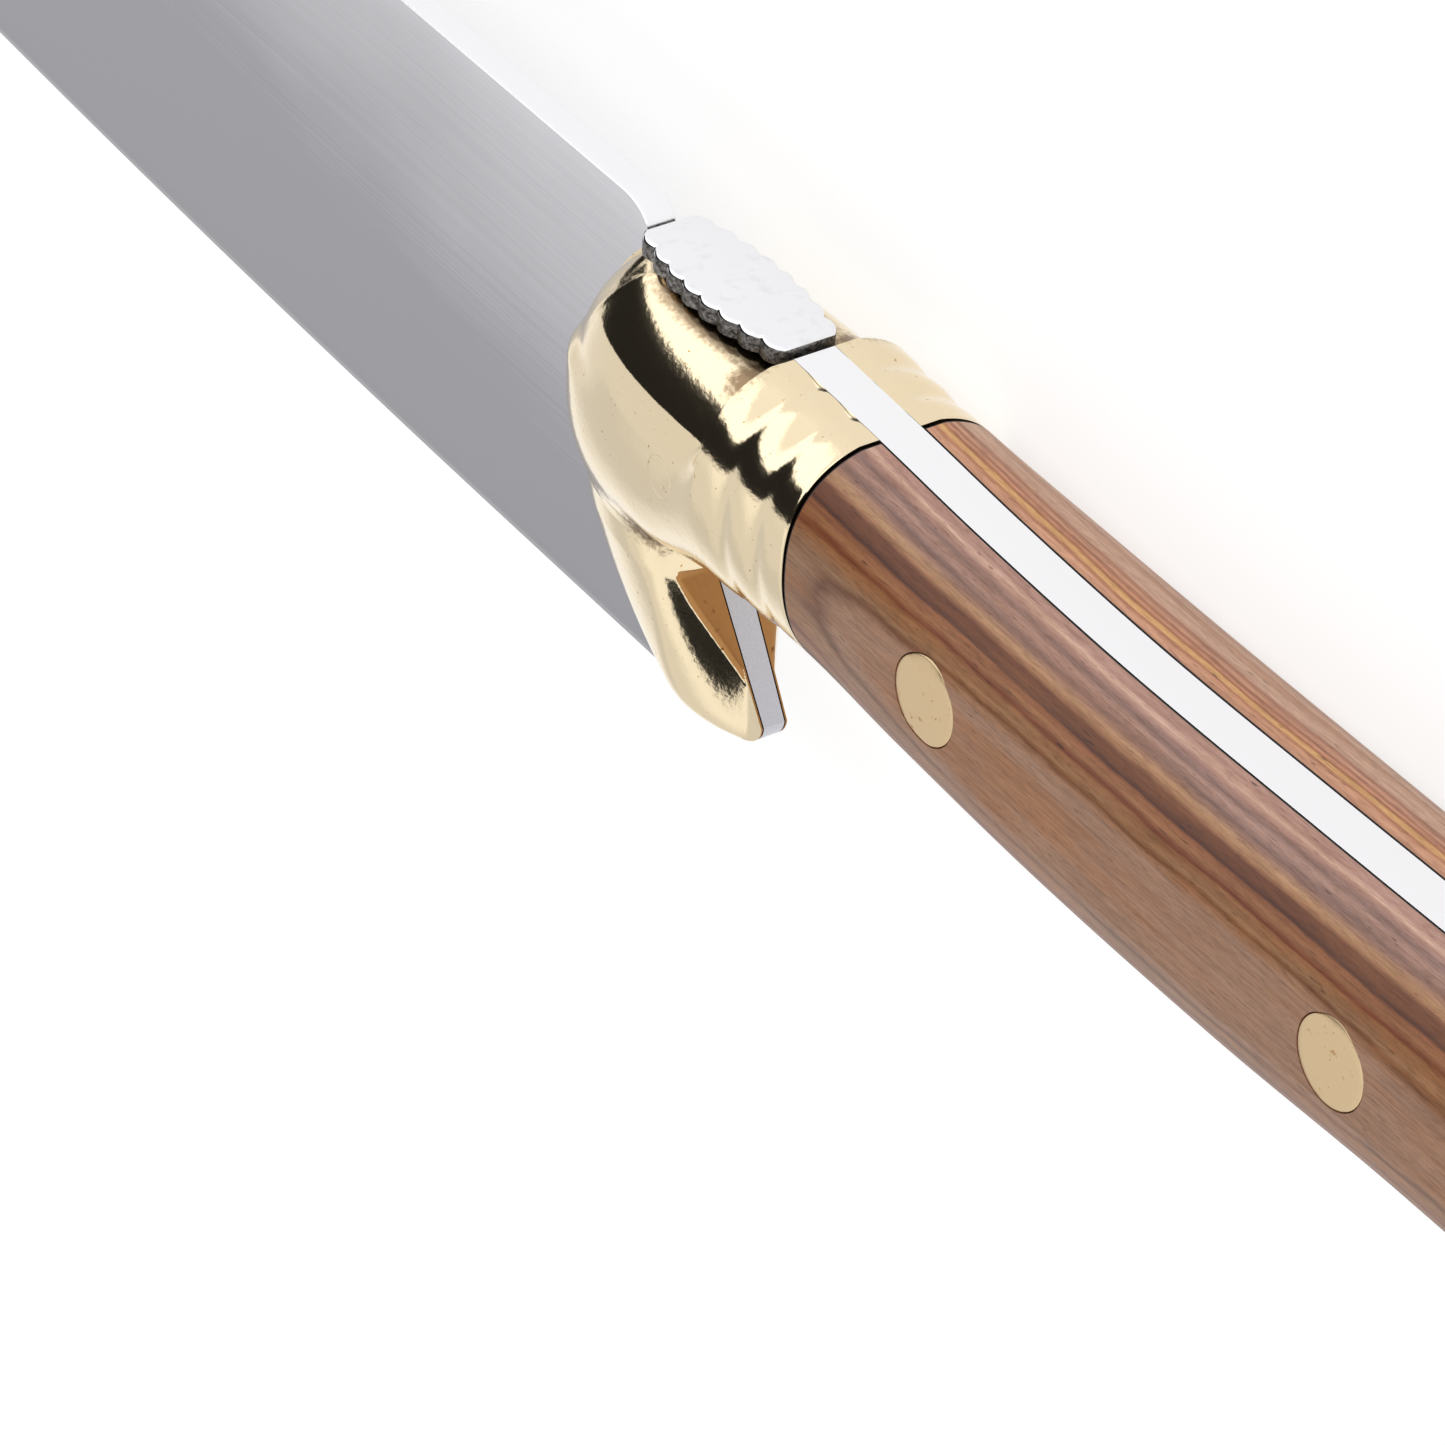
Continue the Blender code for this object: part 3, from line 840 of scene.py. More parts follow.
@dataclass(frozen=True)
class BladeForm:
    """Side outline and thickness of the ground blade."""

    tip_x: float
    spine_y: float
    edge_low: float = 0.0257
    edge_start_x: float = 0.080
    edge_sweep: float = 0.626
    tip_power: float = 8
    shoulder_x: float = 0.056
    half: float = 0.0012
    tip_half: float = 0.0006
    edge_half: float = 0.00012
    keen_half: float = 0.00001
    keen_slope: float = 0.22

    def edge_y(self, x: float) -> float:
        """Cutting edge: straight at the heel, then a sweep up to the tip."""
        way = max(0.0, (x - self.edge_start_x) / (self.tip_x - self.edge_start_x))
        lost = self.edge_sweep * way**2 + (1 - self.edge_sweep) * way**self.tip_power
        return blended(self.edge_low, self.spine_y, lost)

    def thickness(self, x: float, y: float) -> float:
        """Half-thickness of the blade at the side point (x, y)."""
        along = (x - self.shoulder_x) / (self.tip_x - self.shoulder_x)
        spine = blended(self.half, self.tip_half, along)
        down = (y - self.spine_y) / max(self.edge_y(x) - self.spine_y, MM)
        ground = blended(spine, self.edge_half, min(max(down, 0.0), 1.0))
        return min(ground, self.keen_half + max(0.0, self.edge_y(x) - y) * self.keen_slope)


@dataclass(frozen=True)
class GuardForm:
    """Side outline and half-width of the bolster: collar, barrel and guard spur."""

    handle: HandleForm
    blade: BladeForm
    joint_x: float
    rim_x: float = 0.0453
    rim_step: float = 0.0004
    arc_x: float = 0.048
    arc_y: float = 0.0065
    arc_long: float = 0.0207
    arc_deep: float = 0.0186
    barrel_top: float = 0.00685
    barrel_half: float = 0.0081
    crease_y: float = 0.0030
    crease_half: float = 0.0076
    shoulder_power: float = 0.48
    top_land: float = 0.00298
    flank_deeper: float = 0.0007
    flank_power: float = 3.0
    front_power: float = 3.0
    notch: tuple[tuple[float, float], ...] = (
        (0.03566, 0.0101),
        (0.0453, 0.0104),
        (0.0505, 0.0113),
        (0.0530, 0.0125),
    )
    spur_root: tuple[float, float] = (0.0530, 0.0130)
    spur_tip: tuple[float, float] = (0.0469, 0.0224)
    spur_heel: tuple[float, float] = (0.0508, 0.0248)
    spur_half: float = 0.0052
    spur_thins: float = 0.13
    spur_crest: float = 0.0035
    spur_rear_share: float = 0.82
    spur_fall: float = 1.7
    spur_tip_flat: float = 0.7
    blend: float = 0.0012
    core_tip_y: float = 0.0246
    step_back: float = 0.0025
    seat_y: float = -0.0069

    def front_x(self, y: float) -> float:
        """Front line of the bolster, an arc bowed to the tip."""
        return self.arc_x + self.arc_long * math.sqrt(max(0.0, 1 - ((y - self.arc_y) / self.arc_deep) ** 2))

    def step_x(self, y: float) -> float:
        """Where the steel steps from core to blade, always under the bolster."""
        return min(self.blade.shoulder_x, self.front_x(y) - self.step_back)

    def spur_line_x(self, y: float) -> float:
        """Rear face of the spur, drawn on past both its ends."""
        (x0, y0), (x1, y1) = self.spur_root, self.spur_tip
        return x0 + (x1 - x0) * (y - y0) / (y1 - y0)

    def rear_x(self, y: float) -> float:
        """Rear line of the bolster: joint, notch, spur face and rounded tip.

        Args:
            y: Height on the side.

        Returns:
            The line's X.
        """
        if y <= self.notch[0][1]:
            return self.joint_x
        if y <= self.notch[-1][1]:
            for (x0, y0), (x1, y1) in zip(self.notch, self.notch[1:]):
                if y <= y1:
                    return x0 + (x1 - x0) * (y - y0) / (y1 - y0)
        if y <= self.spur_tip[1]:
            return min(self.notch[-1][0], self.spur_line_x(y))
        share = (y - self.spur_tip[1]) / (self.spur_heel[1] - self.spur_tip[1])
        return blended(self.spur_tip[0], self.spur_heel[0], 1 - math.sqrt(max(0.0, 1 - share**2)))

    def barrel_section(self, y: float) -> float:
        """Half-width of the barrel: a leaning flat side, a crease and a rounded shoulder."""
        if y >= 0:
            reach = self.handle.stations[-1][2] + self.flank_deeper
            return self.handle.quarter(y, reach, self.barrel_half, self.flank_power)
        if -y <= self.crease_y:
            return blended(self.barrel_half, self.crease_half, (-y / self.crease_y) ** 1.4)
        left = max(0.0, (self.barrel_top + y) / (self.barrel_top - self.crease_y))
        return blended(self.top_land, self.crease_half, left**self.shoulder_power)

    def barrel(self, x: float, y: float) -> float:
        """Half-width of the barrel at the side point (x, y)."""
        way = max(0.0, (x - self.rim_x) / (self.front_x(y) - self.rim_x))
        return self.barrel_section(y) * math.sqrt(max(0.0, 1 - way**self.front_power))

    def spur(self, x: float, y: float) -> float:
        """Half-width of the spur, widest a little in front of its rear face.

        Args:
            x: Place along the knife.
            y: Height on the side.

        Returns:
            The half-width.
        """
        widest = self.spur_half - self.spur_thins * max(0.0, y - self.spur_root[1])
        low = self.arc_y + self.arc_deep - self.spur_tip[1]
        tip_way = max(0.0, (y - self.spur_tip[1]) / low)
        widest *= math.sqrt(max(0.0, 1 - self.spur_tip_flat * tip_way**3))
        ahead = x - self.spur_line_x(y)
        if ahead < self.spur_crest:
            return widest * (1 - (1 - self.spur_rear_share) * (1 - ahead / self.spur_crest) ** 2)
        room = max(self.front_x(y) - self.spur_line_x(y) - self.spur_crest, MM)
        way = (ahead - self.spur_crest) / room
        return widest * math.sqrt(max(0.0, 1 - min(way, 1.0) ** self.spur_fall))

    def body(self, x: float, y: float) -> float:
        """Half-width in front of the collar: barrel and spur run together."""
        barrel = self.barrel(x, y)
        if y <= 0:
            return barrel
        spur = self.spur(x, y)
        both = (barrel + spur + math.sqrt((barrel - spur) ** 2 + self.blend**2)) / 2
        return blended(barrel, both, eased(y / (2 * MM)))


# ---------------------------------------------------------------- sub-assemblies


@dataclass(frozen=True)
class Pin:
    """A pin across the knife, peened flush with both sides."""

    node: str
    radius: float
    x: float
    y: float
    surface: Callable[[float, float], float]
    mid_plane: float
    finish: Finish
    sides: int = 72
    edge_mm: float = 0.07
    dome_mm: float = 0.03
    dip_mm: float = 0.12
    rings: int = 6

    @classmethod
    def from_frame(cls, node: str, surface: Callable, mid_plane: float, finish: Finish) -> Pin:
        """Reads a pin's place and radius from its node's box."""
        low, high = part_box(node)
        centre = (low + high) / 2
        return cls(node, (high.x - low.x) / 2, centre.x, centre.y, surface, mid_plane, finish)

    def add_rod(self, bm: bmesh.types.BMesh, radius: float, depth: float) -> None:
        """Adds a plain rod at the pin's place.

        Args:
            bm: The bmesh to add to.
            radius: The rod's radius.
            depth: Its length along Z, half on each side of Z = 0.
        """
        bmesh.ops.create_cone(
            bm,
            segments=self.sides,
            radius1=radius,
            radius2=radius,
            depth=depth,
            cap_ends=True,
            matrix=Matrix.Translation((self.x, self.y, 0)),
        )

    def build(self) -> bpy.types.Object:
        """Builds the pin: a rod whose ends follow the handle's sides or stand a hair proud.

        Returns:
            The pin's object.
        """
        bm = bmesh.new()
        self.add_rod(bm, self.radius, BORE_DEPTH)
        ends = [face for face in bm.faces if len(face.verts) == self.sides]
        rim = {edge for face in ends for edge in face.edges}
        for end in ends:
            for _ in range(self.rings):
                step = self.radius / (self.rings + 1)
                bmesh.ops.inset_region(bm, faces=[end], thickness=step, use_even_offset=False)
        bmesh.ops.poke(bm, faces=ends)
        lowest = self.surface(self.x, self.y) - self.dip_mm * MM
        for vert in bm.verts:
            side = 1 if vert.co.z > 0 else -1
            away = math.hypot(vert.co.x - self.x, vert.co.y - self.y) / self.radius
            sunk = self.dome_mm * MM * away**2
            height = max(self.surface(vert.co.x, vert.co.y), lowest) - sunk
            vert.co.z = self.mid_plane + side * height
        live = [edge for edge in rim if edge.is_valid]
        round_edges(bm, live, self.edge_mm * MM, 2)
        made = finished(self.node + "_head", bm, self.finish, crease=50)
        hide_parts(self.node)
        return made


@dataclass
class Scale:
    """One wood scale, rounded at the butt and bored for its pins."""

    side: Side
    form: HandleForm
    finish: Finish
    pins: Sequence[Pin]
    joint_x: float
    core_gap: float = 0.00010
    bore_play: float = 0.00007
    butt_share: float = 0.22
    columns: int = 300
    rows: int = 96

    def station(self, along: float) -> float:
        """Place along the knife for a share, crowded towards the butt."""
        turn, form = self.butt_share, self.form
        if along < turn:
            return form.butt_x + form.butt_round * (1 - math.cos(math.pi / 2 * along / turn))
        start = form.butt_x + form.butt_round
        return blended(start, self.joint_x, (along - turn) / (1 - turn))

    def outer(self, along: float, around: float) -> Vector:
        """A point of the scale's outside."""
        x = self.station(along)
        y, half = self.form.ring(x, around, self.core_gap)
        return Vector((x, y, self.form.mid_plane + self.side.value * half))

    def inner(self, along: float, around: float) -> Vector:
        """The point of the scale's inside under one of its outside."""
        x = self.station(along)
        y, _ = self.form.ring(x, around, self.core_gap)
        flat = self.form.core(y) + self.core_gap
        return Vector((x, y, self.form.mid_plane + self.side.value * flat))

    def build(self) -> bpy.types.Object:
        """Builds the scale and bores it.

        Returns:
            The scale's object.
        """
        bm = formed_shell(self.columns, self.rows, self.inner, self.outer)
        made = finished(f"{self.side.word}_wood_scale", bm, self.finish)
        bored(made, self.pins, self.bore_play)
        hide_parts(f"{self.side.word}_scale")
        return made


@dataclass
class Bolster:
    """One brass half: fluted collar, creased barrel and guard spur."""

    side: Side
    form: GuardForm
    finish: Finish
    rear_reflection_finish: Finish
    pin: Pin
    joint_fill: float = 0.00013
    flute_xs: tuple[float, float] = (0.0390, 0.0425)
    flute_depth: float = 0.00022
    flute_width: float = 0.0009
    front_line: float = 0.0030
    front_ridge: float = 0.00007
    edge_round: float = 0.00025
    spur_round: float = 0.0004
    heel_round: float = 0.0006
    thin_edge: float = 0.00012
    fit: float = 0.00003
    spur_fit: float = 0.00010
    bore_play: float = 0.000005
    row_marks: tuple[float, ...] = (0.02, 0.36, 0.55, 0.66, 0.90, 1.0)
    column_marks: tuple[float, float, float] = (0.08, 0.36, 0.44)
    columns: int = 170
    rows: int = 190

    def level(self, along: float) -> tuple[float, float]:
        """The level of a row.

        Args:
            along: 0 at the core on the spine side, 1 at the spur's lower end.

        Returns:
            The level's Y on the barrel, and the share of the flat top land it has crossed.
        """
        form = self.form
        top, belly = -form.barrel_top, form.notch[0][1]
        marks = self.row_marks
        if along < marks[0]:
            return top, along / marks[0]
        if along < marks[1]:
            turn = (along - marks[0]) / (marks[1] - marks[0])
            return top * math.cos(math.pi / 2 * turn) ** 0.8, 1.0
        if along < marks[2]:
            turn = (along - marks[1]) / (marks[2] - marks[1])
            return belly * math.sin(math.pi / 2 * turn) * 0.99, 1.0
        if along < marks[3]:
            return blended(belly * 0.99, form.spur_root[1], (along - marks[2]) / (marks[3] - marks[2])), 1.0
        if along < marks[4]:
            share = (along - marks[3]) / (marks[4] - marks[3])
            return blended(form.spur_root[1], form.spur_tip[1], share), 1.0
        turn = (along - marks[4]) / (marks[5] - marks[4])
        return blended(form.spur_tip[1], form.spur_heel[1], math.sin(math.pi / 2 * turn)), 1.0

    def station(self, across: float, y: float) -> float:
        """Place along the knife of a column at the height y.

        Args:
            across: 0 at the rear line, 1 at the front line.
            y: The level's height.

        Returns:
            X, with columns crowded at the rear edge, the rim and the front.
        """
        form = self.form
        rear, front = form.rear_x(y), form.front_x(y)
        rear -= self.joint_fill if rear == form.joint_x else 0.0
        room = front - rear
        lip = rear + min(self.spur_round, 0.1 * room)
        rim = max(form.rim_x, rear + 0.2 * room)
        foot = max(form.rim_x + form.rim_step, rim + min(form.rim_step, 0.05 * room))
        last = self.column_marks[-1]
        if across <= last:
            return between(across, [(0.0, rear), *zip(self.column_marks, (lip, rim, foot))])
        return blended(foot, front, math.sin(math.pi / 2 * (across - last) / (1 - last)))

    def flute(self, x: float) -> float:
        """How much the collar's section shrinks in its two shallow grooves."""
        dips = (math.exp(-(((x - place) / self.flute_width) ** 2)) for place in self.flute_xs)
        return self.flute_depth * sum(dips)

    def lift(self, x: float) -> float:
        """How far the collar's top stands over the barrel's, as a ratio."""
        collar = (self.form.handle.through(x, 1) - self.flute(x)) / self.form.barrel_top
        return blended(collar, 1.0, eased((x - self.form.rim_x) / self.form.rim_step))

    def half(self, x: float, y: float) -> float:
        """Half-width of the finished outside at a barrel level.

        Args:
            x: Place along the knife.
            y: The level's Y on the barrel, before the collar lifts it.

        Returns:
            The half-width.
        """
        form = self.form
        collar_x = min(x, form.rim_x)
        raised = y * form.handle.through(collar_x, 1) / form.barrel_top if y < 0 else y
        fade = 1 - 0.5 * eased(y / (8 * MM))
        collar = form.handle.side(collar_x, raised) - self.flute(x) * fade
        # The rim's step is crisp on the shoulder and fans out to a long slope on the flank
        run = form.rim_step + min(max(y + 3.2 * MM, 0.0), 9 * MM)
        width = blended(collar, form.body(x, y), eased((x - form.rim_x) / run))
        if x < form.rim_x:
            width = collar
        from_front = form.front_x(y) - x
        ridge = math.exp(-(((from_front - self.front_line) / (0.35 * MM)) ** 2))
        width += self.front_ridge * ridge * (1 - eased((y + 3 * MM) / (3 * MM)))
        return width - self.rounding(x, y)

    def rounding(self, x: float, y: float) -> float:
        """What the rounded rear and lower edges take off the half-width."""
        taken = 0.0
        spur = blended(self.edge_round, self.spur_round, eased((y - 12 * MM) / (3 * MM)))
        edges = ((x - self.form.rear_x(y), spur), (self.form.spur_heel[1] - y, self.heel_round))
        for away, radius in edges:
            left = min(max(radius - away, 0.0), radius)
            taken += radius - math.sqrt(radius**2 - left**2)
        return taken if y > self.form.notch[0][1] else 0.2 * taken

    def play(self, y: float) -> float:
        """Clearance to the steel, wider down the spur."""
        return blended(self.fit, self.spur_fit, eased((y - 8 * MM) / (6 * MM)))

    def floor(self, x: float, y: float) -> float:
        """Half-width of the inside at a side point."""
        if x < self.form.step_x(y) + self.play(y):
            return self.form.handle.core(y) + self.play(y)
        return self.form.blade.thickness(x, y) + self.play(y)

    def point(self, across: float, along: float, outside: bool) -> Vector:
        """A point of the bolster's outside, or the one under it on its inside."""
        y, crossed = self.level(along)
        x = self.station(across, y)
        raised = y * self.lift(x) if y < 0 else y
        low = self.floor(x, raised)
        height = low
        if outside:
            high = max(self.half(x, y), low + self.thin_edge)
            height = blended(low + self.thin_edge, high, crossed)
        return Vector((x, raised, self.form.handle.mid_plane + self.side.value * height))

    def build(self) -> bpy.types.Object:
        """Builds the half and bores it for its pin.

        Returns:
            The bolster's object.
        """
        bm = formed_shell(
            self.columns,
            self.rows,
            lambda across, along: self.point(across, along, False),
            lambda across, along: self.point(across, along, True),
        )
        made = finished(f"{self.side.word}_brass_bolster", bm, self.finish)
        bored(made, [self.pin], self.bore_play)
        low = self.form.notch[0][1]
        # Painted reflection: the rear faces of spur and notch take a darker brown brass that stands in for
        # the wood they reflect
        dress_faces(made, self.rear_reflection_finish, lambda face: face.normal.x < -0.75 and face.center.y > low)
        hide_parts(f"{self.side.word}_bolster")
        return made


@dataclass
class BladeAndTang:
    """The steel: slab-sided tang, seat and guard core, and the ground blade in front."""

    form: GuardForm
    finish: Finish
    blade_finish: Finish
    strip_reflection_finish: Finish
    tang_steps: int = 260
    edge_round: float = 0.00012
    spine_end_x: float = 0.0625
    spine_end_round: float = 0.003
    spine_bevel: float = 0.00018
    edge_reach: float = 1.02
    hidden_x: float = 0.0535
    seat_shares: tuple[float, float, float] = (0.03, 0.05, 0.12)
    section_shares: tuple[float, float, float] = (0.06, 0.12, 0.9)
    keen_reach: float = 0.0006
    columns: int = 420
    rows: int = 101

    def outline(self) -> list[tuple[float, float]]:
        """Side outline of tang, seat, guard core and spur, round from the butt."""
        form, handle = self.form, self.form.handle
        count = self.tang_steps
        ways = [1 - math.cos(math.pi / 2 * i / count) for i in range(count + 1)]
        xs = [blended(handle.butt_x, form.rim_x, way) for way in ways]
        spine = [(x, handle.at(x)[0]) for x in xs]
        seat = [(form.rim_x + 0.2 * MM, form.seat_y), (form.blade.shoulder_x, form.seat_y)]
        tip_ys = [blended(form.core_tip_y, form.spur_tip[1], i / 16) for i in range(17)]
        heel = [(form.step_x(y), y) for y in reversed(tip_ys)]
        tip = [(form.rear_x(y), y) for y in tip_ys]
        notch = [(x, y) for x, y in form.notch[:0:-1]]
        belly = [(x, handle.at(x)[1]) for x in reversed(xs) if x < form.joint_x]
        return spine + seat + heel + tip + [form.spur_root] + notch + belly

    def build_tang(self) -> bpy.types.Object:
        """Builds the tang and guard core with softly broken edges.

        Returns:
            The tang's object.
        """
        bm = slab(self.outline(), lambda x, y: self.form.handle.core(y))
        sides = {face for face in bm.faces if len(face.verts) > 4}
        rims = [e for e in bm.edges if sum(face in sides for face in e.link_faces) == 1]
        round_edges(bm, rims, self.edge_round, 2)
        bmesh.ops.translate(bm, verts=bm.verts, vec=(0, 0, self.form.handle.mid_plane))
        made = finished("tang_and_guard_core", bm, self.finish, crease=30)
        low = self.form.notch[1][1]
        # Painted reflection: the spur's rear steel strip gets a darker, scratched steel that stands in for
        # the dark wood it reflects
        dress_faces(made, self.strip_reflection_finish, lambda face: face.normal.x < -0.3 and face.center.y > low)
        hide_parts("blade_and_tang")
        return made

    def spine_line(self, x: float) -> float:
        """Y of the blade's spine: the seat, an arc and the straight back."""
        form = self.form
        into = min(max((x - self.spine_end_x) / self.spine_end_round, 0.0), 1.0)
        if x < self.spine_end_x:
            return form.seat_y
        return blended(form.seat_y, form.blade.spine_y, math.sqrt(1 - (1 - into) ** 2))

    def blade_station(self, along: float) -> float:
        """Place along the blade, crowded at the spine's end and towards the tip."""
        before, start, turned = self.seat_shares
        marks = ((0.0, self.hidden_x), (before, self.spine_end_x - 0.1 * MM), (start, self.spine_end_x))
        if along <= start:
            return between(along, marks)
        end = self.spine_end_x + self.spine_end_round
        if along < turned:
            share = (along - start) / (turned - start)
            return blended(self.spine_end_x, end, 1 - math.cos(math.pi / 2 * share))
        last = self.form.blade.tip_x - TIP_BLUNT
        return blended(end, last, math.sin(math.pi / 2 * (along - turned) / (1 - turned)))

    def blade_point(self, along: float, around: float) -> Vector:
        """A point of the blade's skin, round its section from the left side of the spine."""
        blade = self.form.blade
        x = self.blade_station(along)
        top, low = self.spine_line(x), blade.edge_y(x)
        side = 1 if around < 0.5 else -1
        share = min(1.0, min(around, 1 - around) * 2 * self.edge_reach)
        bevel = min(self.spine_bevel, 0.2 * (low - top))
        near = max(low - self.keen_reach, blended(top, low, 0.7))
        back, turned, flank = self.section_shares
        y = between(share, ((0.0, top), (back, top), (turned, top + bevel), (flank, near), (1.0, low)))
        half = blade.thickness(x, y)
        if share < back:
            half = (half - bevel) * share / back
        elif share < turned:
            turn = math.pi / 2 * (share - back) / (turned - back)
            y = top + bevel * (1 - math.cos(turn))
            half = blade.thickness(x, y) - bevel * (1 - math.sin(turn))
        return Vector((x, y, self.form.handle.mid_plane + side * half))

    def build_blade(self) -> bpy.types.Object:
        """Builds the ground blade.

        Returns:
            The blade's object.
        """
        bm = formed_grid(self.columns, self.rows, self.blade_point)
        bmesh.ops.remove_doubles(bm, verts=bm.verts, dist=WELD)
        bmesh.ops.holes_fill(bm, edges=bm.edges, sides=0)
        made = finished("ground_blade", bm, self.blade_finish, crease=30)
        dress_faces(made, self.finish, lambda face: face.normal.y < -0.5)
        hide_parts("blade_and_tang")
        return made


@dataclass
class SpinePlate:
    """Plain scalloped plate seated across the spine in front of the collar."""

    start_x: float
    length: float
    top_y: float
    thick: float
    mid_plane: float
    finish: Finish
    side_finish: Finish
    half: float = 0.0031
    scallops: int = 8
    scallop_depth: float = 0.00035
    end_share: float = 0.62
    swell: float = 0.8
    steps: int = 12
    edge_round: float = 0.0004

    @classmethod
    def from_frame(cls, mid_plane: float, finish: Finish, side_finish: Finish) -> SpinePlate:
        """Reads the plate's place and thickness from its node's box."""
        low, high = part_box("spine_plate")
        return cls(low.x, high.x - low.x, low.y, high.y - low.y, mid_plane, finish, side_finish)

    def half_at(self, share: float) -> float:
        """Half-width of the plate along its length, with scalloped sides."""
        belly = math.sin(math.pi * share) ** self.swell
        leaf = self.half * blended(self.end_share, 1.0, belly)
        return leaf + self.scallop_depth * abs(math.sin(math.pi * self.scallops * share))

    def build(self) -> bpy.types.Object:
        """Builds the plate: its outline, raised and rounded over.

        Returns:
            The plate's object.
        """
        count = self.scallops * self.steps
        shares = [i / count for i in range(count + 1)]
        one = [(self.start_x + self.length * s, self.half_at(s)) for s in shares]
        points = one + [(x, -z) for x, z in reversed(one)]
        bm = bmesh.new()
        base = self.top_y + self.thick
        face = bm.faces.new([bm.verts.new((x, base, self.mid_plane + z)) for x, z in points])
        made = bmesh.ops.extrude_face_region(bm, geom=[face], use_keep_orig=True)
        tops = [item for item in made["geom"] if isinstance(item, bmesh.types.BMVert)]
        bmesh.ops.translate(bm, verts=tops, vec=(0, -self.thick, 0))
        rim = [e for e in bm.edges if all(v in tops for v in e.verts)]
        round_edges(bm, rim, self.edge_round, 4)
        piece = finished("scalloped_spine_plate", bm, self.finish, crease=40)
        dress_faces(piece, self.side_finish, lambda face: abs(face.normal.y) < 0.3)
        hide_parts("spine_plate")
        return piece


# ---------------------------------------------------------------- studio


@dataclass(frozen=True)
class Card:
    """A rectangular card far away in the studio, seen in the reflections."""

    towards: tuple[float, float, float]
    up: tuple[float, float, float]
    half_wide: float
    half_high: float
    soft: float
    level: float


@dataclass
class Studio:
    """Pale floor, soft white surround with a few darker cards, and the camera."""

    target: tuple[float, float, float] = (0.0527088, 0.0259235, 0.0088)
    distance: float = 0.4473854
    heading: float = 42.39256
    down: float = 28.20949
    roll: float = 109.81305
    lens: float = 166.9212
    floor_size: float = 6.0
    floor_tone: str = "#A8A8A8"
    floor_glow: float = 0.71
    surround: float = 1.15
    cards: tuple[Card, ...] = (
        Card((0.66, 0.60, 0.45), (0.0, 0.0, 1.0), 0.8, 0.5, 0.25, 0.88),
        Card((0.70, 0.633, 0.304), (0.0, -0.5145, 0.8575), 0.26, 0.14, 0.055, 0.76),
        Card((0.651, -0.650, 0.40), (0.0, -1.0, 0.0), 1.2, 0.30, 0.08, 1.7),
        Card((0.651, -0.125, 0.745), (0.0, -1.0, 0.0), 1.6, 0.31, 0.03, 0.02),
        Card((-0.42, 0.53, 0.735), (1.0, 0.0, 0.0), 0.27, 0.19, 0.03, 0.02),
    )

    def light(self) -> None:
        """Makes the surround and its cards as one world shader."""
        world = bpy.data.worlds.new("studio")
        bpy.context.scene.world = world
        world.use_nodes = True
        tree = world.node_tree
        towards = add(tree, "TexCoord").outputs["Generated"]
        level: object = self.surround
        for card in self.cards:
            share = self.card_share(tree, towards, card)
            level = add(tree, "Mix", {0: share, 2: level, 3: card.level}).outputs[0]
        seen = add(tree, "LightPath").outputs["Is Camera Ray"]
        shown = add(tree, "Mix", {0: seen, 2: level, 3: 1.0}).outputs[0]
        background = tree.nodes["Background"]
        background.inputs["Color"].default_value = (1, 1, 1, 1)
        tree.links.new(shown, background.inputs["Strength"])

    def card_share(self, tree: bpy.types.NodeTree, towards: object, card: Card) -> bpy.types.NodeSocket:
        """How much of a direction a card fills.

        Args:
            tree: The world's node tree.
            towards: The direction's socket.
            card: The card.

        Returns:
            A socket with 0 to 1.
        """
        ahead = Vector(card.towards).normalized()
        right = Vector(card.up).cross(ahead).normalized()
        up = ahead.cross(right)
        parts = [
            add(tree, "VectorMath", {0: towards, 1: axis}, operation="DOT_PRODUCT").outputs["Value"]
            for axis in (right, up, ahead)
        ]
        front = add(tree, "Math", {0: parts[2], 1: 0.05}, operation="MAXIMUM").outputs[0]
        share: object = 1.0
        for part, half in ((parts[0], card.half_wide), (parts[1], card.half_high)):
            slant = add(tree, "Math", {0: part, 1: front}, operation="DIVIDE").outputs[0]
            away = add(tree, "Math", {0: slant}, operation="ABSOLUTE").outputs[0]
            fade = {"Value": away, "From Min": half - card.soft, "From Max": half + card.soft}
            fade.update({"To Min": 1.0, "To Max": 0.0})
            inside = add(tree, "MapRange", fade, interpolation_type="SMOOTHSTEP").outputs[0]
            share = add(tree, "Math", {0: inside, 1: share}, operation="MULTIPLY").outputs[0]
        return share

    def lay_floor(self) -> None:
        """Lays a matt white floor under the knife."""
        bm = bmesh.new()
        bmesh.ops.create_grid(bm, x_segments=1, y_segments=1, size=self.floor_size / 2)
        floor = placed("studio_floor", bm)
        made, _, shader = new_material("matt_white_floor")
        shader.inputs["Base Color"].default_value = linear(self.floor_tone)
        shader.inputs["Roughness"].default_value = 0.9
        shader.inputs["Specular IOR Level"].default_value = 0.1
        shader.inputs["Emission Color"].default_value = (1, 1, 1, 1)
        shader.inputs["Emission Strength"].default_value = self.floor_glow
        floor.data.materials.append(made)

    def place_camera(self) -> None:
        """Places the camera by what it looks at, how far, from where and how far it is rolled."""
        heading, down = math.radians(self.heading), math.radians(self.down)
        flat = math.cos(down)
        ahead = Vector((flat * math.cos(heading), flat * math.sin(heading), -math.sin(down)))
        camera = bpy.data.objects.new("camera", bpy.data.cameras.new("camera"))
        bpy.context.scene.collection.objects.link(camera)
        turn = ahead.to_track_quat("-Z", "Y").to_matrix().to_4x4()
        roll = Matrix.Rotation(-math.radians(self.roll), 4, "Z")
        camera.matrix_world = Matrix.Translation(Vector(self.target) - ahead * self.distance) @ turn @ roll
        camera.data.lens = self.lens
        camera.data.clip_start = 0.01
        bpy.context.scene.camera = camera

    def build(self) -> None:
        """Builds the floor, the light and the camera."""
        self.lay_floor()
        self.light()
        self.place_camera()
        bpy.context.scene.view_settings.view_transform = "Standard"


# ---------------------------------------------------------------- the knife


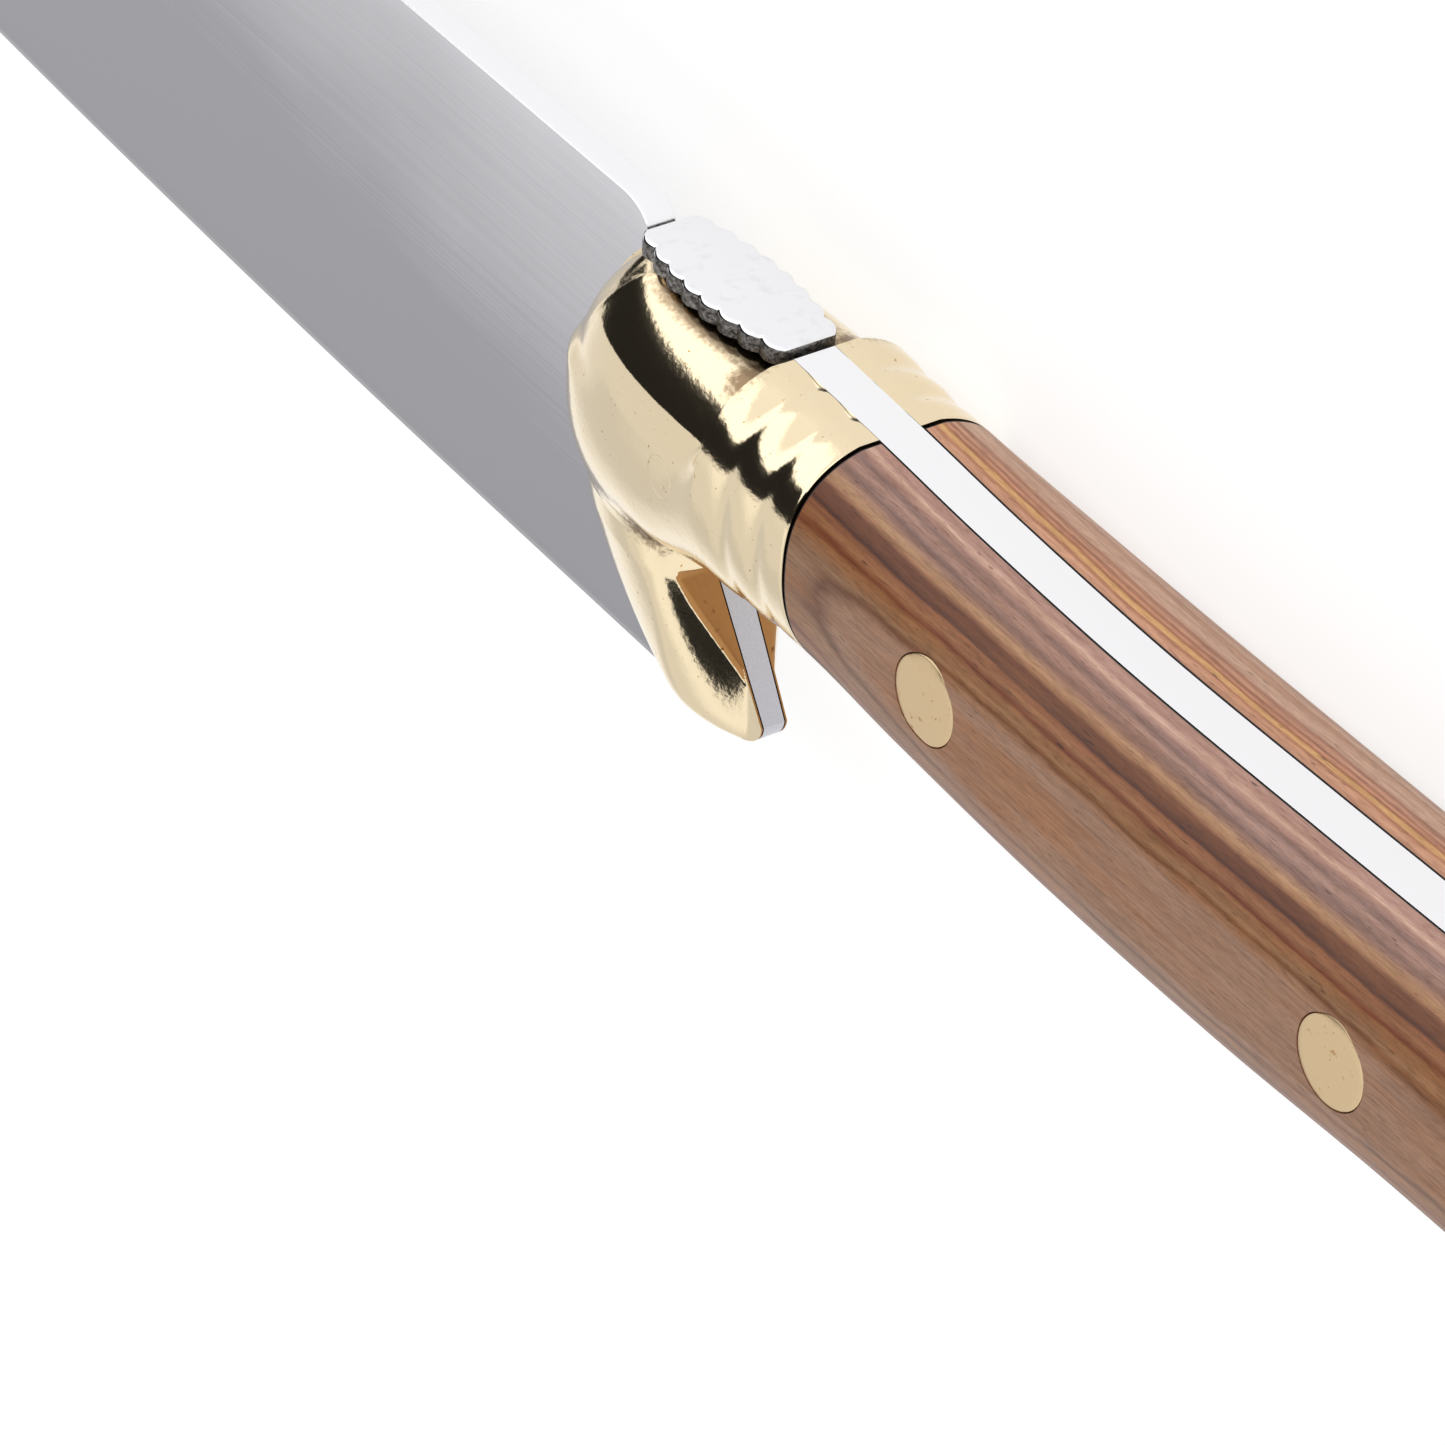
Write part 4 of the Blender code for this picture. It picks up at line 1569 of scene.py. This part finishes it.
@dataclass
class Knife:
    """The whole knife, worked out from the frame."""

    # Painted shade in the brass: at the foot of the collar's rim, along the spine plate's foot and in the
    # valley between flank and spur
    painted_shade_hollows: tuple[PaintedShadeHollow, ...] = (
        PaintedShadeHollow((46.4, -6.7, 4.2), (1.7, 1.5, 3.4), 0.8),
        PaintedShadeHollow((54.0, -6.9, 3.4), (9.0, 0.7, 1.3), 0.7),
        PaintedShadeHollow((55.1, 9.9, 4.9), (2.8, 1.7, 2.4), 0.9),
    )
    near_layers: tuple[tuple[float, str], ...] = (
        (1.6, "#B48D7E"), (2.4, "#B2897B"), (2.8, "#D2AC98"), (3.2, "#AC8376"),
        (3.7, "#8A6C64"), (4.2, "#AE897B"), (4.8, "#84655C"), (5.1, "#987263"),
        (5.55, "#B88E6A"), (5.9, "#A0714F"), (6.15, "#6E3C20"), (6.7, "#663618"),
        (6.95, "#4A1E0C"), (7.1, "#8C5430"), (7.5, "#9A6843"), (7.8, "#703216"),
        (7.95, "#94643F"), (8.4, "#9C7658"), (8.55, "#744A30"), (8.7, "#A67E64"),
        (9.3, "#A67C5E"),
    )
    far_layers: tuple[tuple[float, str], ...] = (
        (1.6, "#C08C70"), (2.3, "#CE9A7A"), (2.6, "#AC7050"), (2.75, "#D2A06C"),
        (3.0, "#D4A468"), (3.2, "#9C5E40"), (3.4, "#C48C6C"), (3.65, "#9A6044"),
        (3.9, "#C69274"), (4.3, "#9A6448"), (4.6, "#C09880"), (5.4, "#C09A80"),
        (6.2, "#A87858"), (6.6, "#BC9478"), (7.4, "#9C6C4C"), (7.8, "#AE8A70"),
        (8.7, "#A08470"), (9.3, "#A2826A"),
    )

    def forms(self) -> GuardForm:
        """Reads the frame and works out the forms that the pieces share."""
        pin_low, pin_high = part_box("scale_pin_front")
        steel_low, steel_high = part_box("blade_and_tang")
        mid_plane = (pin_low.z + pin_high.z) / 2
        handle = HandleForm(steel_low.x, mid_plane, (pin_high.z - pin_low.z) / 2)
        blade = BladeForm(steel_high.x + TIP_BLUNT, steel_low.y)
        bolster_low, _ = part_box("left_bolster")
        return GuardForm(handle, blade, bolster_low.x)

    def build(self) -> None:
        """Builds every piece in order and reports it."""
        guard = self.forms()
        handle = guard.handle
        plane = handle.mid_plane
        pin_brass = Brass("peened_brass_pins", "#DFC49B", "#C2905C", 0.34, 1.1, 0.6, 0.03)
        scale_pins = [
            Pin.from_frame(f"scale_pin_{place}", handle.side, plane, pin_brass)
            for place in ("front", "middle", "rear")
        ]
        # Painted shade: the ground steel's last number darkens its colour ahead of the bolster and down to
        # the edge
        ground = SatinSteel("ground_stainless_steel", "#D9D8DC", "#A8A7AC", 0.08, 0.0025)
        brass = Brass("polished_cast_brass", "#EAD8B6", "#B98E52", 0.11, 1.7, 0.2, 0.05, plane, self.painted_shade_hollows)
        # Painted reflection: darker brown brass for the rear faces of spur and notch, standing in for the
        # wood they reflect
        rear_reflection_brass = Brass("brass_rear_painted_reflection", "#A87A4A", "#6E4526", 0.32, 1.2, 0.6, 0.12)
        # Painted reflection: darker steel for the spur's rear strip, standing in for the wood it reflects
        strip_reflection_steel = SatinSteel("guard_strip_painted_reflection", "#C2C2C8", "#85858C", 0.3)
        steel = BladeAndTang(guard, SatinSteel(), ground, strip_reflection_steel)
        pieces = [steel.build_tang(), steel.build_blade()]
        hole = Pin.from_frame("bolster_pin", guard.body, plane, brass)
        bolsters = [Bolster(side, guard, brass, rear_reflection_brass, hole) for side in Side]
        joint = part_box("left_scale")[1].x + bolsters[0].joint_fill
        grown = {Side.LEFT: (self.near_layers, "#A87044"), Side.RIGHT: (self.far_layers, "#B0784E")}
        woods = {
            side: OiledWood(f"oiled_fruitwood_{side.word}", side, plane, *grown[side], joint) for side in Side
        }
        pieces += [Scale(side, handle, woods[side], scale_pins, joint).build() for side in Side]
        pieces += [bolster.build() for bolster in bolsters]
        rivet = replace(hole, surface=bolsters[0].half, edge_mm=0.015, dome_mm=0.0, dip_mm=1.0)
        pieces += [pin.build() for pin in [*scale_pins, rivet]]
        pieces.append(SpinePlate.from_frame(plane, PolishedSteel(), CastSteel()).build())
        for piece in pieces:
            LOG.info("%s: %d faces", piece.name, len(piece.data.polygons))


def main() -> None:
    """Loads the frame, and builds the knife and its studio."""
    logging.basicConfig(level=logging.INFO)
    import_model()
    Knife().build()
    Studio().build()


if __name__ == "__main__":
    main()
